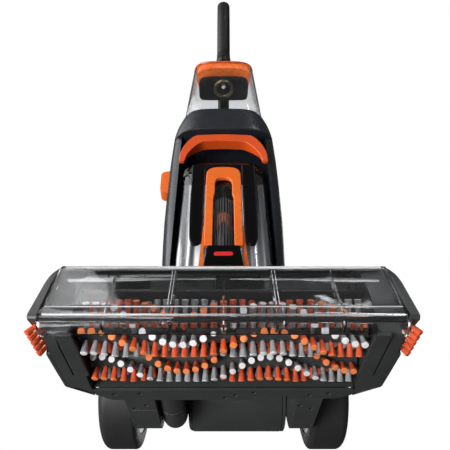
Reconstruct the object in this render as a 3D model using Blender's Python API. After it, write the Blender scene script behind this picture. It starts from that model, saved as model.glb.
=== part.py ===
"""Upright carpet cleaner: a washing foot, two brush rolls and a reclining body with lift-off tanks.

The machine stands on Z = 0 and faces -Y, with X to the right. Lengths are millimetres here, and
add_part() turns them into metres. Y is counted from the front brush roll's axis; FRONT_ROLL_Y then
moves the whole machine so that its footprint is centred on the origin.
"""

import math

import bmesh
import bpy
from mathutils import Vector

MM = 0.001
GAP = 0.3                      # clearance between pieces that touch
FRONT_ROLL_Y = -134.0          # the front roll's axis, from the middle of the machine

# Brush rolls
ROLL_SPACING = 50.5
ROLL_HEIGHT = 25.0
ROLL_TIP_RADIUS = 24.0
ROLL_CORE_RADIUS = 11.5
ROLL_HALF_LENGTH = 124.0
ROW_COUNT = 6
ROW_WAVE = math.radians(47.5)  # how far a bristle row swings round the core
ROW_START = math.radians(16.5)
ROW_WAVE_LENGTH = 156.0
WAVE_X = 41.0                  # where the rows swing furthest forward
SHAFT_RADIUS = 4.0
PULLEY_RADIUS = 11.0
MOTOR_Y = 30.0
MOTOR_Z = 78.0
MOTOR_PULLEY_RADIUS = 7.0

# Foot
CHAMBER_HALF = 127.7           # brush chamber, half its width
HOUSING_HALF = 150.0           # end housings and nozzle, half their width
FOOT_HALF = 158.0              # side covers, half the whole width
FOOT_REAR = 104.0
PLATE_BOTTOM = 3.0
COVER_WALL = 2.8
WINDOW_WALL = 2.4

# Wheels and axle
AXLE_Y = 236.0
AXLE_Z = 78.0
AXLE_RADIUS = 5.0
TYRE_RADIUS = 78.0
WHEEL_INNER = 102.5
WHEEL_OUTER = 146.5
ARM_INNER_LEFT = 70.0
ARM_INNER_RIGHT = 75.5
ARM_OUTER = 101.0

# Upright body
LEAN = 0.07                    # how far the front leans back for each millimetre of height
FRONT_AT_200 = 125.0           # the front of the trim, at Z = 200
BARREL_RADIUS = 57.5
BARREL_WALL = 4.0
BARREL_LEFT = -38.0
BARREL_RIGHT = 71.0
CASING_BOTTOM = 150.0
CASING_TOP = 492.0
COLLAR_TOP = 556.0
DUCT_RADIUS = 13.4
TANK_DEPTH = 74.5
CASING_WALL = 3.2
REAR_AT_BOTTOM = 296.0
REAR_LEAN = 0.06

# Dirty water tank
TANK_HALF = 70.0
TANK_BOTTOM = 166.0
TANK_TOP = 384.0
TANK_WALL = 2.5
LID_TOP = 418.0
TRIM_HALF = 26.5
SLOT_HALF = 14.8
TRIM_TOP = 388.0
TRIM_BOTTOM = 222.0
SLOT_TOP = 362.0

# Clean water tank
CLEAN_BOTTOM = 548.0
CLEAN_TOP = 733.0
CLEAN_HALF_LOW = 71.0
CLEAN_HALF_HIGH = 60.5
CLEAN_WALL = 2.5

# Handle
POLE_BEHIND = 91.0             # the pole's axis, behind the leaning front surface
POLE_LOW_RADIUS = 11.5
POLE_RADIUS = 16.0
POLE_JOIN = 742.0
POLE_TOP = 905.0
GRIP_TOP = 1124.0
GRIP_RADIUS = 15.5


def front(z):
    """Y of the upright's front surface at height z."""
    return FRONT_AT_200 + LEAN * (z - 200.0)


# ---------------------------------------------------------------- scene and materials

def clear_scene():
    for thing in list(bpy.data.objects):
        bpy.data.objects.remove(thing, do_unlink=True)


def make_material(name, colour, roughness, metallic=0.0, alpha=1.0):
    material = bpy.data.materials.new(name)
    material.use_nodes = True
    shader = material.node_tree.nodes["Principled BSDF"]
    shader.inputs["Base Color"].default_value = (*colour, 1.0)
    shader.inputs["Roughness"].default_value = roughness
    shader.inputs["Metallic"].default_value = metallic
    shader.inputs["Alpha"].default_value = alpha
    return material


def make_materials():
    return {
        "charcoal": make_material("charcoal_plastic", (0.045, 0.048, 0.052), 0.45),
        "black": make_material("black_gloss", (0.012, 0.012, 0.014), 0.2),
        "orange": make_material("orange_plastic", (0.85, 0.16, 0.03), 0.35),
        "clear": make_material("clear_plastic", (0.85, 0.87, 0.88), 0.08, alpha=0.35),
        "grey": make_material("grey_plastic", (0.2, 0.2, 0.21), 0.4),
        "rubber": make_material("tyre_rubber", (0.02, 0.02, 0.02), 0.8),
        "bristle": make_material("nylon_bristle", (0.75, 0.2, 0.06), 0.6),
        "steel": make_material("steel", (0.6, 0.6, 0.62), 0.3, metallic=1.0),
        "brass": make_material("brass", (0.6, 0.45, 0.15), 0.3, metallic=1.0),
    }


# ---------------------------------------------------------------- shapes

def loft(rings, closed=False):
    """Skin over rings of equal length; the ends are capped, or joined to each other if closed."""
    mesh = bmesh.new()
    rows = [[mesh.verts.new(point) for point in ring] for ring in rings]
    count = len(rows[0])
    pairs = list(zip(rows, rows[1:]))
    if closed:
        pairs.append((rows[-1], rows[0]))
    for low, high in pairs:
        for i in range(count):
            j = (i + 1) % count
            mesh.faces.new((low[i], low[j], high[j], high[i]))
    if not closed:
        mesh.faces.new(list(reversed(rows[0])))
        mesh.faces.new(rows[-1])
    bmesh.ops.recalc_face_normals(mesh, faces=mesh.faces)
    return mesh


def prism_x(outline, x0, x1):
    """Outline of (y, z) points, extruded from x0 to x1."""
    return loft([[Vector((x, y, z)) for y, z in outline] for x in (x0, x1)])


def prism_z(outline, z0, z1):
    """Outline of (x, y) points, extruded from z0 to z1."""
    return loft([[Vector((x, y, z)) for x, y in outline] for z in (z0, z1)])


def leaning_plate(outline, near, far):
    """Outline of (x, z) points, as a plate from near to far behind the leaning front surface."""
    return loft([[Vector((x, front(z) + depth, z)) for x, z in outline] for depth in (near, far)])


def block(x0, x1, y0, y1, z0, z1):
    return prism_z([(x0, y0), (x1, y0), (x1, y1), (x0, y1)], z0, z1)


def oval(half_width, near, far, z, power=4.0, count=24):
    """Horizontal ring between Y near and far: an ellipse squared off by its power."""
    middle = (near + far) / 2
    half_depth = (far - near) / 2
    ring = []
    for i in range(count):
        angle = 2 * math.pi * (i + 0.5) / count
        c = math.cos(angle)
        s = math.sin(angle)
        x = half_width * math.copysign(abs(c) ** (2 / power), c)
        y = middle + half_depth * math.copysign(abs(s) ** (2 / power), s)
        ring.append(Vector((x, y, z)))
    return ring


def circle_x(x, y, z, radius, count=24):
    """Ring round an axis along X."""
    angles = [2 * math.pi * i / count for i in range(count)]
    return [Vector((x, y + radius * math.cos(a), z + radius * math.sin(a))) for a in angles]


def turn_x(profile, y, z, count=24, closed=False):
    """Turned piece round an axis along X, from (x, radius) pairs."""
    return loft([circle_x(x, y, z, radius, count) for x, radius in profile], closed)


def pipe_x(x0, x1, y, z, inner, outer, count=24):
    return turn_x([(x0, outer), (x1, outer), (x1, inner), (x0, inner)], y, z, count, closed=True)


def circle_z(x, y, z, radius, count=20):
    angles = [2 * math.pi * i / count for i in range(count)]
    return [Vector((x + radius * math.cos(a), y + radius * math.sin(a), z)) for a in angles]


def turn_z(profile, x, y, count=20, closed=False):
    """Turned piece round an upright axis, from (z, radius) pairs."""
    return loft([circle_z(x, y, z, radius, count) for z, radius in profile], closed)


def arc(cy, cz, radius, start, end, steps):
    """Points on a circle, angles in degrees."""
    points = []
    for i in range(steps + 1):
        angle = math.radians(start + (end - start) * i / steps)
        points.append((cy + radius * math.cos(angle), cz + radius * math.sin(angle)))
    return points


def sweep_rings(path, radius, count=16):
    """Rings square to a path that starts in a plane of constant X."""
    rings = []
    side = Vector((1, 0, 0))
    for i, point in enumerate(path):
        ahead = path[min(i + 1, len(path) - 1)] - path[max(i - 1, 0)]
        ahead.normalize()
        side = (side - ahead * side.dot(ahead)).normalized()
        up = ahead.cross(side)
        ring = []
        for k in range(count):
            angle = 2 * math.pi * k / count
            ring.append(point + side * radius * math.cos(angle) + up * radius * math.sin(angle))
        rings.append(ring)
    return rings


def smooth_path(points, steps=4):
    """Catmull-Rom curve through the given points."""
    ends = [points[0] * 2 - points[1]] + points + [points[-1] * 2 - points[-2]]
    path = []
    for a, b, c, d in zip(ends, ends[1:], ends[2:], ends[3:]):
        for i in range(steps):
            t = i / steps
            path.append(0.5 * (2 * b + (c - a) * t + (2 * a - 5 * b + 4 * c - d) * t * t
                               + (3 * b - a - 3 * c + d) * t ** 3))
    path.append(points[-1])
    return path


# ---------------------------------------------------------------- objects

class Body:
    """An empty on a joint's axis, which carries the pieces that move with it."""

    def __init__(self, name, pivot, parent=None):
        self.pivot = Vector(pivot)
        self.empty = bpy.data.objects.new(name + "_pivot", None)
        bpy.context.collection.objects.link(self.empty)
        if parent is None:
            self.empty.location = Vector((0, FRONT_ROLL_Y, 0)) * MM
        else:
            self.empty.parent = parent.empty
            self.empty.location = (self.pivot - parent.pivot) * MM


def add_part(name, mesh, material, body):
    """Turn a bmesh in machine millimetres into an object on its body."""
    for vert in mesh.verts:
        vert.co = (vert.co - body.pivot) * MM
    data = bpy.data.meshes.new(name)
    mesh.to_mesh(data)
    mesh.free()
    data.materials.append(material)
    data.shade_smooth()
    data.set_sharp_from_angle(angle=math.radians(35))
    part = bpy.data.objects.new(name, data)
    bpy.context.collection.objects.link(part)
    part.parent = body.empty
    return part


def combine(part, mesh, body, operation="DIFFERENCE"):
    """Cut, join or intersect a part with a hidden helper shape."""
    helper = add_part(part.name + "_helper", mesh, part.data.materials[0], body)
    helper.hide_render = True
    helper.display_type = "WIRE"
    modifier = part.modifiers.new(operation.lower(), "BOOLEAN")
    modifier.operation = operation
    modifier.object = helper
    return part


# ---------------------------------------------------------------- foot

def chamber_outline():
    """Brush chamber in section: roof and rear wall, (y, z)."""
    outside = [(-12, 56), (60, 56), (79.5, 44), (79.5, PLATE_BOTTOM + 3)]
    inside = [(77, PLATE_BOTTOM + 3), (77, 42.6), (59.3, 53.5), (-12, 53.5)]
    return outside + inside


def cover_line(inset):
    """Outer line of the top cover from the window to the rear, moved inwards by inset."""
    return [(-7, 89 - inset), (10, 98 - inset), (40, 105 - inset), (74, 106 - inset),
            (94 - inset * 0.7, 100 - inset * 0.7), (FOOT_REAR - inset, 84), (FOOT_REAR - inset, 8.5)]


def window_line(inset):
    """Front line of the clear nozzle from its lip to the top, moved inwards by inset."""
    return [(-40.5 + inset, PLATE_BOTTOM), (-45.5 + inset, 6), (-46 + inset, 14), (-40.2 + inset, 23.5),
            (-31 + inset, 49 - inset * 0.3), (-21 + inset, 79 - inset), (-7.3, 88.6 - inset)]


def strip(outer, inner):
    return outer + list(reversed(inner))


def build_foot(base, m):
    chamber = prism_x(chamber_outline(), -CHAMBER_HALF, CHAMBER_HALF)
    add_part("brush_chamber", chamber, m["charcoal"], base)

    cover = prism_x(strip(cover_line(0), cover_line(COVER_WALL)), -CHAMBER_HALF, CHAMBER_HALF)
    add_part("top_cover", cover, m["charcoal"], base)

    window = prism_x(strip(window_line(0), window_line(WINDOW_WALL)), -HOUSING_HALF, HOUSING_HALF)
    add_part("nozzle_window", window, m["clear"], base)

    wall = [(-29, 3), (-26.4, 28), (-12.5, 74), (-14.5, 74), (-28.4, 28), (-31, 3)]
    add_part("nozzle_inner_wall", prism_x(wall, -CHAMBER_HALF, CHAMBER_HALF), m["clear"], base)

    plate = [(-126, 79.9), (126, 79.9), (126, 91), (112, 100), (66, 101), (64, 93), (32, 93),
             (30, FOOT_REAR), (-112, FOOT_REAR), (-126, 91)]
    add_part("bottom_plate", prism_z(plate, PLATE_BOTTOM, PLATE_BOTTOM + 2.8), m["charcoal"], base)


def housing_profile():
    """Side view of an end housing, (y, z)."""
    return [(-26, 6), (-26, 40), (-13, 78), (-7, 84), (-6.6, 88.8), (10, 98), (40, 105), (74, 106),
            (94, 100), (104, 84), (104, 8), (96, PLATE_BOTTOM), (-10, PLATE_BOTTOM)]


def side_profile():
    """Side view of a side cover, (y, z): longer and lower at the front than the housing."""
    return [(-44, 9), (-46, 12), (-30, 61), (-10, 86), (10, 98), (40, 105), (74, 106), (94, 100),
            (97, 84), (97, 3), (4, 3), (4, 9)]


def build_end(base, m, side, name):
    """End housing, side cover and edge brush; side is -1 on the left, 1 on the right."""
    def across(x0, x1):
        return sorted((side * x0, side * x1))

    low, high = across(CHAMBER_HALF + GAP, HOUSING_HALF)
    housing = add_part("end_housing_" + name, prism_x(housing_profile(), low, high),
                       m["charcoal"], base)
    low, high = across(134, HOUSING_HALF + 1)
    pocket = [(-14, 10), (-20, 40), (-8, 76), (12, 92), (72, 100), (90, 94), (97, 12)]
    combine(housing, prism_x(pocket, low, high), base)
    for y in (0, ROLL_SPACING):
        low, high = across(CHAMBER_HALF - 2, 136)
        combine(housing, turn_x([(low, 8.3), (high, 8.3)], y, ROLL_HEIGHT), base)
    low, high = across(CHAMBER_HALF - 2, 136)
    if side > 0:
        combine(housing, turn_x([(low, 5), (high, 5)], MOTOR_Y, MOTOR_Z, 16), base)
    trim_corner = [(127 * side, 93), (127 * side, 120), (160 * side, 120), (160 * side, 65)]
    combine(housing, prism_z(trim_corner, 0, 120), base)

    plan = [(side * FOOT_HALF, -46), (side * 155, -24), (side * 153.4, 0), (side * 153, 40),
            (side * 152.4, 72), (side * (HOUSING_HALF + GAP), 74), (side * (HOUSING_HALF + GAP), -46)]
    cover = add_part("side_cover_" + name, prism_z(plan, 0, 120), m["charcoal"], base)
    low, high = across(140, 170)
    combine(cover, prism_x(side_profile(), low, high), base, "INTERSECT")

    bristle = [(side * 150.5, -39), (side * 160, -39), (side * 160, 3), (side * 150.5, 3)]
    add_part("edge_brush_" + name, prism_z(bristle, 0.2, 8.7), m["bristle"], base)

    low, high = across(134.2, 135.8)
    slot = arc(ROLL_SPACING, ROLL_HEIGHT, 10, -90, 90, 8) + arc(0, ROLL_HEIGHT, 10, 90, 270, 8)
    plate = add_part("bearing_plate_" + name, prism_x(slot, low, high), m["steel"], base)
    for y in (0, ROLL_SPACING):
        low, high = across(128.4, 134.3)
        combine(plate, turn_x([(low, 8.0), (high, 8.0)], y, ROLL_HEIGHT), base, "UNION")
        low, high = across(120, 140)
        combine(plate, turn_x([(low, SHAFT_RADIUS + GAP), (high, SHAFT_RADIUS + GAP)], y, ROLL_HEIGHT),
                base)


def roll_ring(x, phase, core, tip):
    """Section of a brush roll: six bristle rows round a core."""
    ring = []
    for row in range(ROW_COUNT):
        middle = phase + 2 * math.pi * row / ROW_COUNT
        for offset, radius in ((-12, core), (-3.5, tip), (3.5, tip), (12, core)):
            angle = middle + math.radians(offset)
            ring.append((radius * math.cos(angle), radius * math.sin(angle)))
    return [(x, y, z) for y, z in ring]


def roll_mesh(y):
    """Shaft, core, wavy bristle rows and belt pulley as one closed skin."""
    stations = []
    stations.append((-137, 0, SHAFT_RADIUS, SHAFT_RADIUS))
    stations.append((-126.5, 0, SHAFT_RADIUS, SHAFT_RADIUS))
    stations.append((-126.4, 0, ROLL_CORE_RADIUS, ROLL_CORE_RADIUS))
    steps = 28
    for i in range(steps + 1):
        x = -ROLL_HALF_LENGTH + 2 * ROLL_HALF_LENGTH * i / steps
        phase = ROW_START - ROW_WAVE * math.cos(2 * math.pi * (x - WAVE_X) / ROW_WAVE_LENGTH)
        if i == 0:
            stations.append((x - 0.1, phase, ROLL_CORE_RADIUS, ROLL_CORE_RADIUS))
        stations.append((x, phase, ROLL_CORE_RADIUS, ROLL_TIP_RADIUS))
        if i == steps:
            stations.append((x + 0.1, phase, ROLL_CORE_RADIUS, ROLL_CORE_RADIUS))
    stations.append((126.4, 0, ROLL_CORE_RADIUS, ROLL_CORE_RADIUS))
    stations.append((126.5, 0, SHAFT_RADIUS, SHAFT_RADIUS))
    stations.append((136.2, 0, SHAFT_RADIUS, SHAFT_RADIUS))
    stations.append((136.3, 0, PULLEY_RADIUS, PULLEY_RADIUS))
    stations.append((145, 0, PULLEY_RADIUS, PULLEY_RADIUS))
    rings = []
    for x, phase, core, tip in stations:
        rings.append([Vector((px, y + py, ROLL_HEIGHT + pz))
                      for px, py, pz in roll_ring(x, phase, core, tip)])
    return loft(rings)


BELT_WHEELS = ((0.0, ROLL_HEIGHT, PULLEY_RADIUS), (ROLL_SPACING, ROLL_HEIGHT, PULLEY_RADIUS),
               (MOTOR_Y, MOTOR_Z, MOTOR_PULLEY_RADIUS))


def belt_ring(x, margin, count=48):
    """Taut line round the three pulleys at distance margin from them."""
    ring = []
    for i in range(count):
        angle = 2 * math.pi * i / count
        c = math.cos(angle)
        s = math.sin(angle)
        y, z, radius = max(BELT_WHEELS, key=lambda wheel: wheel[0] * c + wheel[1] * s + wheel[2])
        ring.append(Vector((x, y + (radius + margin) * c, z + (radius + margin) * s)))
    return ring


def build_rolls(base, m):
    front_roll = Body("front_roll", (0, 0, ROLL_HEIGHT), base)
    rear_roll = Body("rear_roll", (0, ROLL_SPACING, ROLL_HEIGHT), base)
    motor_drive = Body("motor_drive", (0, MOTOR_Y, MOTOR_Z), base)
    for body, y, name in ((front_roll, 0, "front"), (rear_roll, ROLL_SPACING, "rear")):
        add_part(name + "_brush_roll", roll_mesh(y), m["bristle"], body)
    shaft = turn_x([(121, 3.5), (121.5, 3.5), (121.6, 20), (126.8, 20), (126.9, 3.5), (136.2, 3.5),
                    (136.3, MOTOR_PULLEY_RADIUS), (145, MOTOR_PULLEY_RADIUS)], MOTOR_Y, MOTOR_Z)
    add_part("motor_pulley", shaft, m["steel"], motor_drive)
    belt = loft([belt_ring(136.8, GAP), belt_ring(136.8, 2), belt_ring(144.4, 2),
                 belt_ring(144.4, GAP)], closed=True)
    add_part("drive_belt", belt, m["rubber"], base)
    motor = turn_x([(38, 9), (40, 16), (112, 16), (120, 10), (120.6, 10)], MOTOR_Y, MOTOR_Z)
    add_part("brush_motor", motor, m["steel"], base)


def build_foot_inside(base, m):
    add_part("water_heater", block(-70, -8, 8, 60, 60, 88), m["grey"], base)
    add_part("spray_bar", turn_x([(-112, 4), (-110, 5), (110, 5), (112, 4)], 89, 40, 12),
             m["grey"], base)


def build_pedal(base, m):
    """Recline pedal behind the foot's cover, hinged on a pin at its front."""
    body = Body("recline_pedal", (-90, 112, 84), base)
    tread = [(107, 88), (108, 82), (112, 80), (118, 82), (150, 96), (151, 100), (146, 101), (112, 90)]
    add_part("recline_pedal", prism_x(tread, -104, -76), m["orange"], body)


def arm_outline():
    """Arm from the foot's rear to the axle, (y, z)."""
    boss = arc(AXLE_Y, AXLE_Z, 22, -60, 120, 8)
    low = [(FOOT_REAR + GAP, 4), (190, 4), (203, 11), (215, 27)]
    return low + boss + [(190, 92), (150, 72), (FOOT_REAR + GAP, 60)]


def build_arms(base, m):
    for side, name, inner in ((-1, "left", ARM_INNER_LEFT), (1, "right", ARM_INNER_RIGHT)):
        low, high = sorted((side * inner, side * ARM_OUTER))
        arm = add_part("axle_arm_" + name, prism_x(arm_outline(), low, high), m["charcoal"], base)
        bore = turn_x([(low - 1, AXLE_RADIUS + GAP), (high + 1, AXLE_RADIUS + GAP)], AXLE_Y, AXLE_Z)
        combine(arm, bore, base)
        start = 62 if side > 0 else inner
        low, high = sorted((side * start, side * (WHEEL_OUTER - 4)))
        axle = turn_x([(low, AXLE_RADIUS), (high, AXLE_RADIUS)], AXLE_Y, AXLE_Z)
        add_part("axle_" + name, axle, m["steel"], base)


def build_duct(base, m):
    """Pipe from the foot, under the motor barrel's side and round into its end."""
    x = -56.2
    points = [(x, FOOT_REAR + GAP, 19), (x, 150, 19), (x, 190, 20), (x, 216, 32), (x, 232, 54),
              (x + 1, AXLE_Y, AXLE_Z - 10), (x + 5, AXLE_Y, AXLE_Z - 2), (x + 12, AXLE_Y, AXLE_Z),
              (BARREL_LEFT + 2, AXLE_Y, AXLE_Z)]
    path = smooth_path([Vector(p) for p in points], 3)
    outside = sweep_rings(path, DUCT_RADIUS)
    inside = sweep_rings(path, DUCT_RADIUS - 2)
    add_part("suction_duct", loft(outside + list(reversed(inside)), closed=True), m["charcoal"], base)


def wheel_profile():
    """Tyre in section, (x, radius), for a wheel on the right."""
    inner = WHEEL_INNER
    outer = WHEEL_OUTER
    return [(inner + 9, TYRE_RADIUS), (outer - 10, TYRE_RADIUS), (outer - 3.5, 75), (outer, 67),
            (outer, 60), (inner, 60), (inner, 68), (inner + 3, 75)]


def build_wheel(base, m, side, name):
    middle = (WHEEL_INNER + WHEEL_OUTER) / 2
    body = Body("wheel_" + name, (side * middle, AXLE_Y, AXLE_Z), base)
    tyre = turn_x([(side * x, r) for x, r in wheel_profile()], AXLE_Y, AXLE_Z, 40, closed=True)
    add_part("tyre_" + name, tyre, m["rubber"], body)
    inner = WHEEL_INNER
    outer = WHEEL_OUTER
    profile = [(ARM_OUTER + 0.6, 12), (inner + 3, 16), (inner + 5, 50), (inner + 1, 59.7),
               (outer - 3, 59.7), (outer - 5, 50), (outer - 10, 30), (outer - 2, 26), (outer, 18)]
    hub = add_part("hub_" + name, turn_x([(side * x, r) for x, r in profile], AXLE_Y, AXLE_Z, 40),
                   m["charcoal"], body)
    bore = turn_x([(side * (ARM_OUTER - 3), AXLE_RADIUS + GAP), (side * (outer - 3), AXLE_RADIUS + GAP)],
                  AXLE_Y, AXLE_Z)
    combine(hub, bore, body)


# ---------------------------------------------------------------- upright body

def rear_line(z):
    """Y of the casing's back at height z."""
    return REAR_AT_BOTTOM - REAR_LEAN * (z - CASING_BOTTOM)


def casing_rings():
    """Outer shape of the main casing."""
    stations = ((CASING_BOTTOM, 80, 26), (185, 84.5, 18), (212, 86, 16), (300, 89.5, 14),
                (440, 89.5, 14), (CASING_TOP, 88, 14))
    rings = []
    for z, half, back_off in stations:
        rings.append(oval(half, front(z) + back_off, rear_line(z), z, 6.0, 32))
    return rings


def build_casing(upright, m):
    split = TANK_DEPTH + 2.0
    outer = casing_rings()
    frame = add_part("front_frame", loft(outer), m["charcoal"], upright)
    rear_cut = [(front(z) + split - GAP / 2, z) for z in (100, 600)] + [(400, 600), (400, 100)]
    combine(frame, prism_x(rear_cut, -200, 200), upright)
    pocket = [(front(z) - 60, z) for z in (164, 600)] + [(front(z) + split + 1, z) for z in (600, 164)]
    combine(frame, prism_x(pocket, -72, 72), upright)

    combine(frame, block(-96, -77, 188.5, 213.5, 380, 436), upright)

    shell = add_part("rear_shell", loft(outer), m["charcoal"], upright)
    front_cut = [(front(z) + split + GAP / 2, z) for z in (600, 100)] + [(0, 100), (0, 600)]
    combine(shell, prism_x(front_cut, -200, 200), upright)
    inner = []
    for z, half in ((CASING_BOTTOM + 3, 76), (185, 80.5), (212, 82.5), (300, 86), (CASING_TOP + 20, 84.5)):
        inner.append(oval(half, front(z) + split + 3.5, rear_line(z) - CASING_WALL, z, 6.0, 32))
    combine(shell, loft(inner), upright)
    combine(shell, block(-11, 11, 265, 290, 456, 484), upright)
    clip = [(84, 382), (94, 384), (95.5, 400), (94.5, 430), (84, 434)]
    mesh = loft([[Vector((x, y, z)) for x, z in clip] for y in (222, 246)])
    combine(shell, mesh, upright, "UNION")


def build_barrel(upright, m):
    barrel = pipe_x(BARREL_LEFT, BARREL_RIGHT, AXLE_Y, AXLE_Z, BARREL_RADIUS - BARREL_WALL,
                    BARREL_RADIUS, 40)
    add_part("motor_barrel", barrel, m["charcoal"], upright)
    cap = [(BARREL_LEFT - GAP, 57), (-40.5, 56), (-42.5, 52), (-42.5, DUCT_RADIUS + 1.8),
           (BARREL_LEFT - GAP, DUCT_RADIUS + 1.8)]
    add_part("barrel_cap_left", turn_x(cap, AXLE_Y, AXLE_Z, 40, closed=True), m["charcoal"], upright)
    cap = [(BARREL_RIGHT + GAP, 57), (74.6, 57), (75.1, 56), (75.1, 5.5), (BARREL_RIGHT + GAP, 5.5)]
    add_part("barrel_cap_right", turn_x(cap, AXLE_Y, AXLE_Z, 40, closed=True), m["charcoal"], upright)
    motor = turn_x([(-26, 5), (-4, 5), (-3.9, 30), (0, 38), (44, 38), (48, 30), (52, 12)],
                   AXLE_Y, AXLE_Z)
    add_part("suction_motor", motor, m["steel"], upright)
    fan_body = Body("fan", (-16, AXLE_Y, AXLE_Z), upright)
    fan = turn_x([(-24, 20), (-23, 44), (-9, 44), (-8, 20), (-8, 5.3), (-24, 5.3)],
                 AXLE_Y, AXLE_Z, 24, closed=True)
    add_part("fan_impeller", fan, m["grey"], fan_body)

    neck = [(154, 149.7), (150, 130), (176, 118), (200, 100), (284, 88), (292, 110), (292, 149.7)]
    lower = add_part("lower_housing", prism_x(neck, -64, 64), m["charcoal"], upright)
    reach = BARREL_RADIUS + GAP
    combine(lower, turn_x([(-70, reach), (70, reach)], AXLE_Y, AXLE_Z, 40), upright)


def build_casing_inside(upright, m):
    z = 230
    y = front(z) + TANK_DEPTH + 10
    pump = turn_z([(z, 14), (z + 2, 18), (z + 60, 18), (z + 62, 10)], 30, y + 22)
    add_part("water_pump", pump, m["grey"], upright)


def build_collar(upright, m):
    stations = ((CASING_TOP + GAP, 88), (512, 86.5), (534, 81), (COLLAR_TOP, 73))
    rings = []
    for z, half in stations:
        taper = max(0.0, (z - 512) * 0.35)
        rings.append(oval(half, front(z) + 1, 275.5 - taper, z, 4.0, 32))
    collar = add_part("collar", loft(rings), m["charcoal"], upright)
    seat = []
    for z in (CLEAN_BOTTOM - GAP, COLLAR_TOP + 5):
        seat.append(oval(CLEAN_HALF_LOW + 0.4, front(z) + 2.6, front(z) + 73, z, 4.0, 32))
    combine(collar, loft(seat), upright)
    combine(collar, pole_mesh([(520, POLE_LOW_RADIUS + GAP), (600, POLE_LOW_RADIUS + GAP)]), upright)


def build_handle(upright, m):
    low_pole = pole_mesh([(520.3, POLE_LOW_RADIUS), (POLE_JOIN - 14, POLE_LOW_RADIUS),
                          (POLE_JOIN - 10, POLE_RADIUS - 1), (POLE_JOIN, POLE_RADIUS - 1)])
    add_part("lower_pole", low_pole, m["black"], upright)
    tube = pole_mesh([(POLE_JOIN + GAP, POLE_RADIUS), (POLE_TOP, POLE_RADIUS)])
    add_part("handle_tube", tube, m["black"], upright)
    y = front(POLE_TOP) + POLE_BEHIND
    height = GRIP_TOP - GRIP_RADIUS
    loop = [(y, POLE_TOP + 24), (y - 18, 960), (y - 38, 1012), (y - 46, 1066), (y - 38, 1096),
            (y - 16, height), (y + 8, 1100), (y + 15, 1058), (y + 13, 1000), (y + 9, 955)]
    rings = grip_rings([Vector((0, py, pz)) for py, pz in loop])
    grip = add_part("handle_grip", loft(rings, closed=True), m["black"], upright)
    stem = pole_mesh([(POLE_TOP + GAP, POLE_RADIUS), (POLE_TOP + 28, POLE_RADIUS)])
    combine(grip, stem, upright, "UNION")

    trigger_body = Body("trigger", (0, y - 11, 998), upright)
    finger = [(y - 14, 996), (y - 7, 995), (y - 10, 1010), (y - 15, 1026), (y - 20, 1040),
              (y - 25, 1038), (y - 22, 1020), (y - 17, 1006)]
    add_part("spray_trigger", prism_x(finger, -7, 7), m["orange"], trigger_body)


def pole_mesh(profile):
    """Turned pole that leans with the body, from (z, radius) pairs."""
    return turn_lean(profile, POLE_BEHIND)


def grip_rings(path):
    """Rings along the closed hand loop, which lies in the middle plane."""
    count = len(path)
    rings = []
    for i, point in enumerate(path):
        ahead = (path[(i + 1) % count] - path[i - 1]).normalized()
        side = Vector((1, 0, 0))
        out = ahead.cross(side)
        ring = []
        for k in range(12):
            angle = 2 * math.pi * k / 12
            ring.append(point + side * GRIP_RADIUS * math.cos(angle)
                        + out * GRIP_RADIUS * 0.8 * math.sin(angle))
        rings.append(ring)
    return rings


def build_hooks(upright, m):
    y = front(860) + POLE_BEHIND
    hook_body = Body("cord_hook", (0, y + POLE_RADIUS, 860), upright)
    stem = prism_z([(-6, y + POLE_RADIUS + 1.2), (6, y + POLE_RADIUS + 1.2), (6, y + 40), (-6, y + 40)],
                   850, 870)
    hook = add_part("cord_hook", stem, m["charcoal"], hook_body)
    combine(hook, block(-6, 6, y + 34, y + 40, 849, 900), hook_body, "UNION")

    latch_body = Body("side_latch", (-92, 200, 407), upright)
    latch = [(-104, 389), (-105, 430), (-92, 434), (-82, 434), (-82, 382), (-98, 384)]
    mesh = loft([[Vector((x, y_at, z)) for x, z in latch] for y_at in (190, 212)])
    add_part("side_latch", mesh, m["orange"], latch_body)
    switch_body = Body("power_switch", (0, 276, 470), upright)
    rocker = [(273.5, 462), (278, 458.5), (282.5, 460), (279.5, 470), (281.5, 480), (278, 481.5),
              (273.5, 478)]
    add_part("power_switch", prism_x(rocker, -10, 10), m["black"], switch_body)
    add_part("cord_inlet", gland_mesh(rear_line(300), 300), m["black"], upright)


def gland_mesh(rear, z):
    """Cord gland that stands out of the rear shell at height z."""
    rings = []
    for depth, radius in ((1, 9), (6, 9), (8, 6), (20, 5)):
        angles = [2 * math.pi * k / 16 for k in range(16)]
        rings.append([Vector((radius * math.cos(a), rear + depth, z + radius * math.sin(a)))
                      for a in angles])
    return loft(rings)


# ---------------------------------------------------------------- dirty water tank

def tank_cup(bottom, top, half_low, half_high, depth_low, near, wall, power, count=28):
    """Open-topped tank with an even wall that follows the upright's lean."""
    def ring(z, inset):
        part = (z - bottom) / (top - bottom)
        half = half_low + (half_high - half_low) * part
        return oval(half - inset, front(z) + near + inset, front(z) + depth_low - inset, z, power, count)

    middle = (bottom + top) / 2
    rings = [ring(bottom, 3), ring(bottom + 4, 0), ring(middle, 0), ring(top, 0)]
    rings += [ring(top, wall), ring(middle, wall), ring(bottom + 5, wall), ring(bottom + 3, wall + 2)]
    return loft(rings)


def mirrored(points):
    """A right-hand outline of (x, z) points, closed with its mirror image."""
    return points + [(-x, z) for x, z in reversed(points)]


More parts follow.
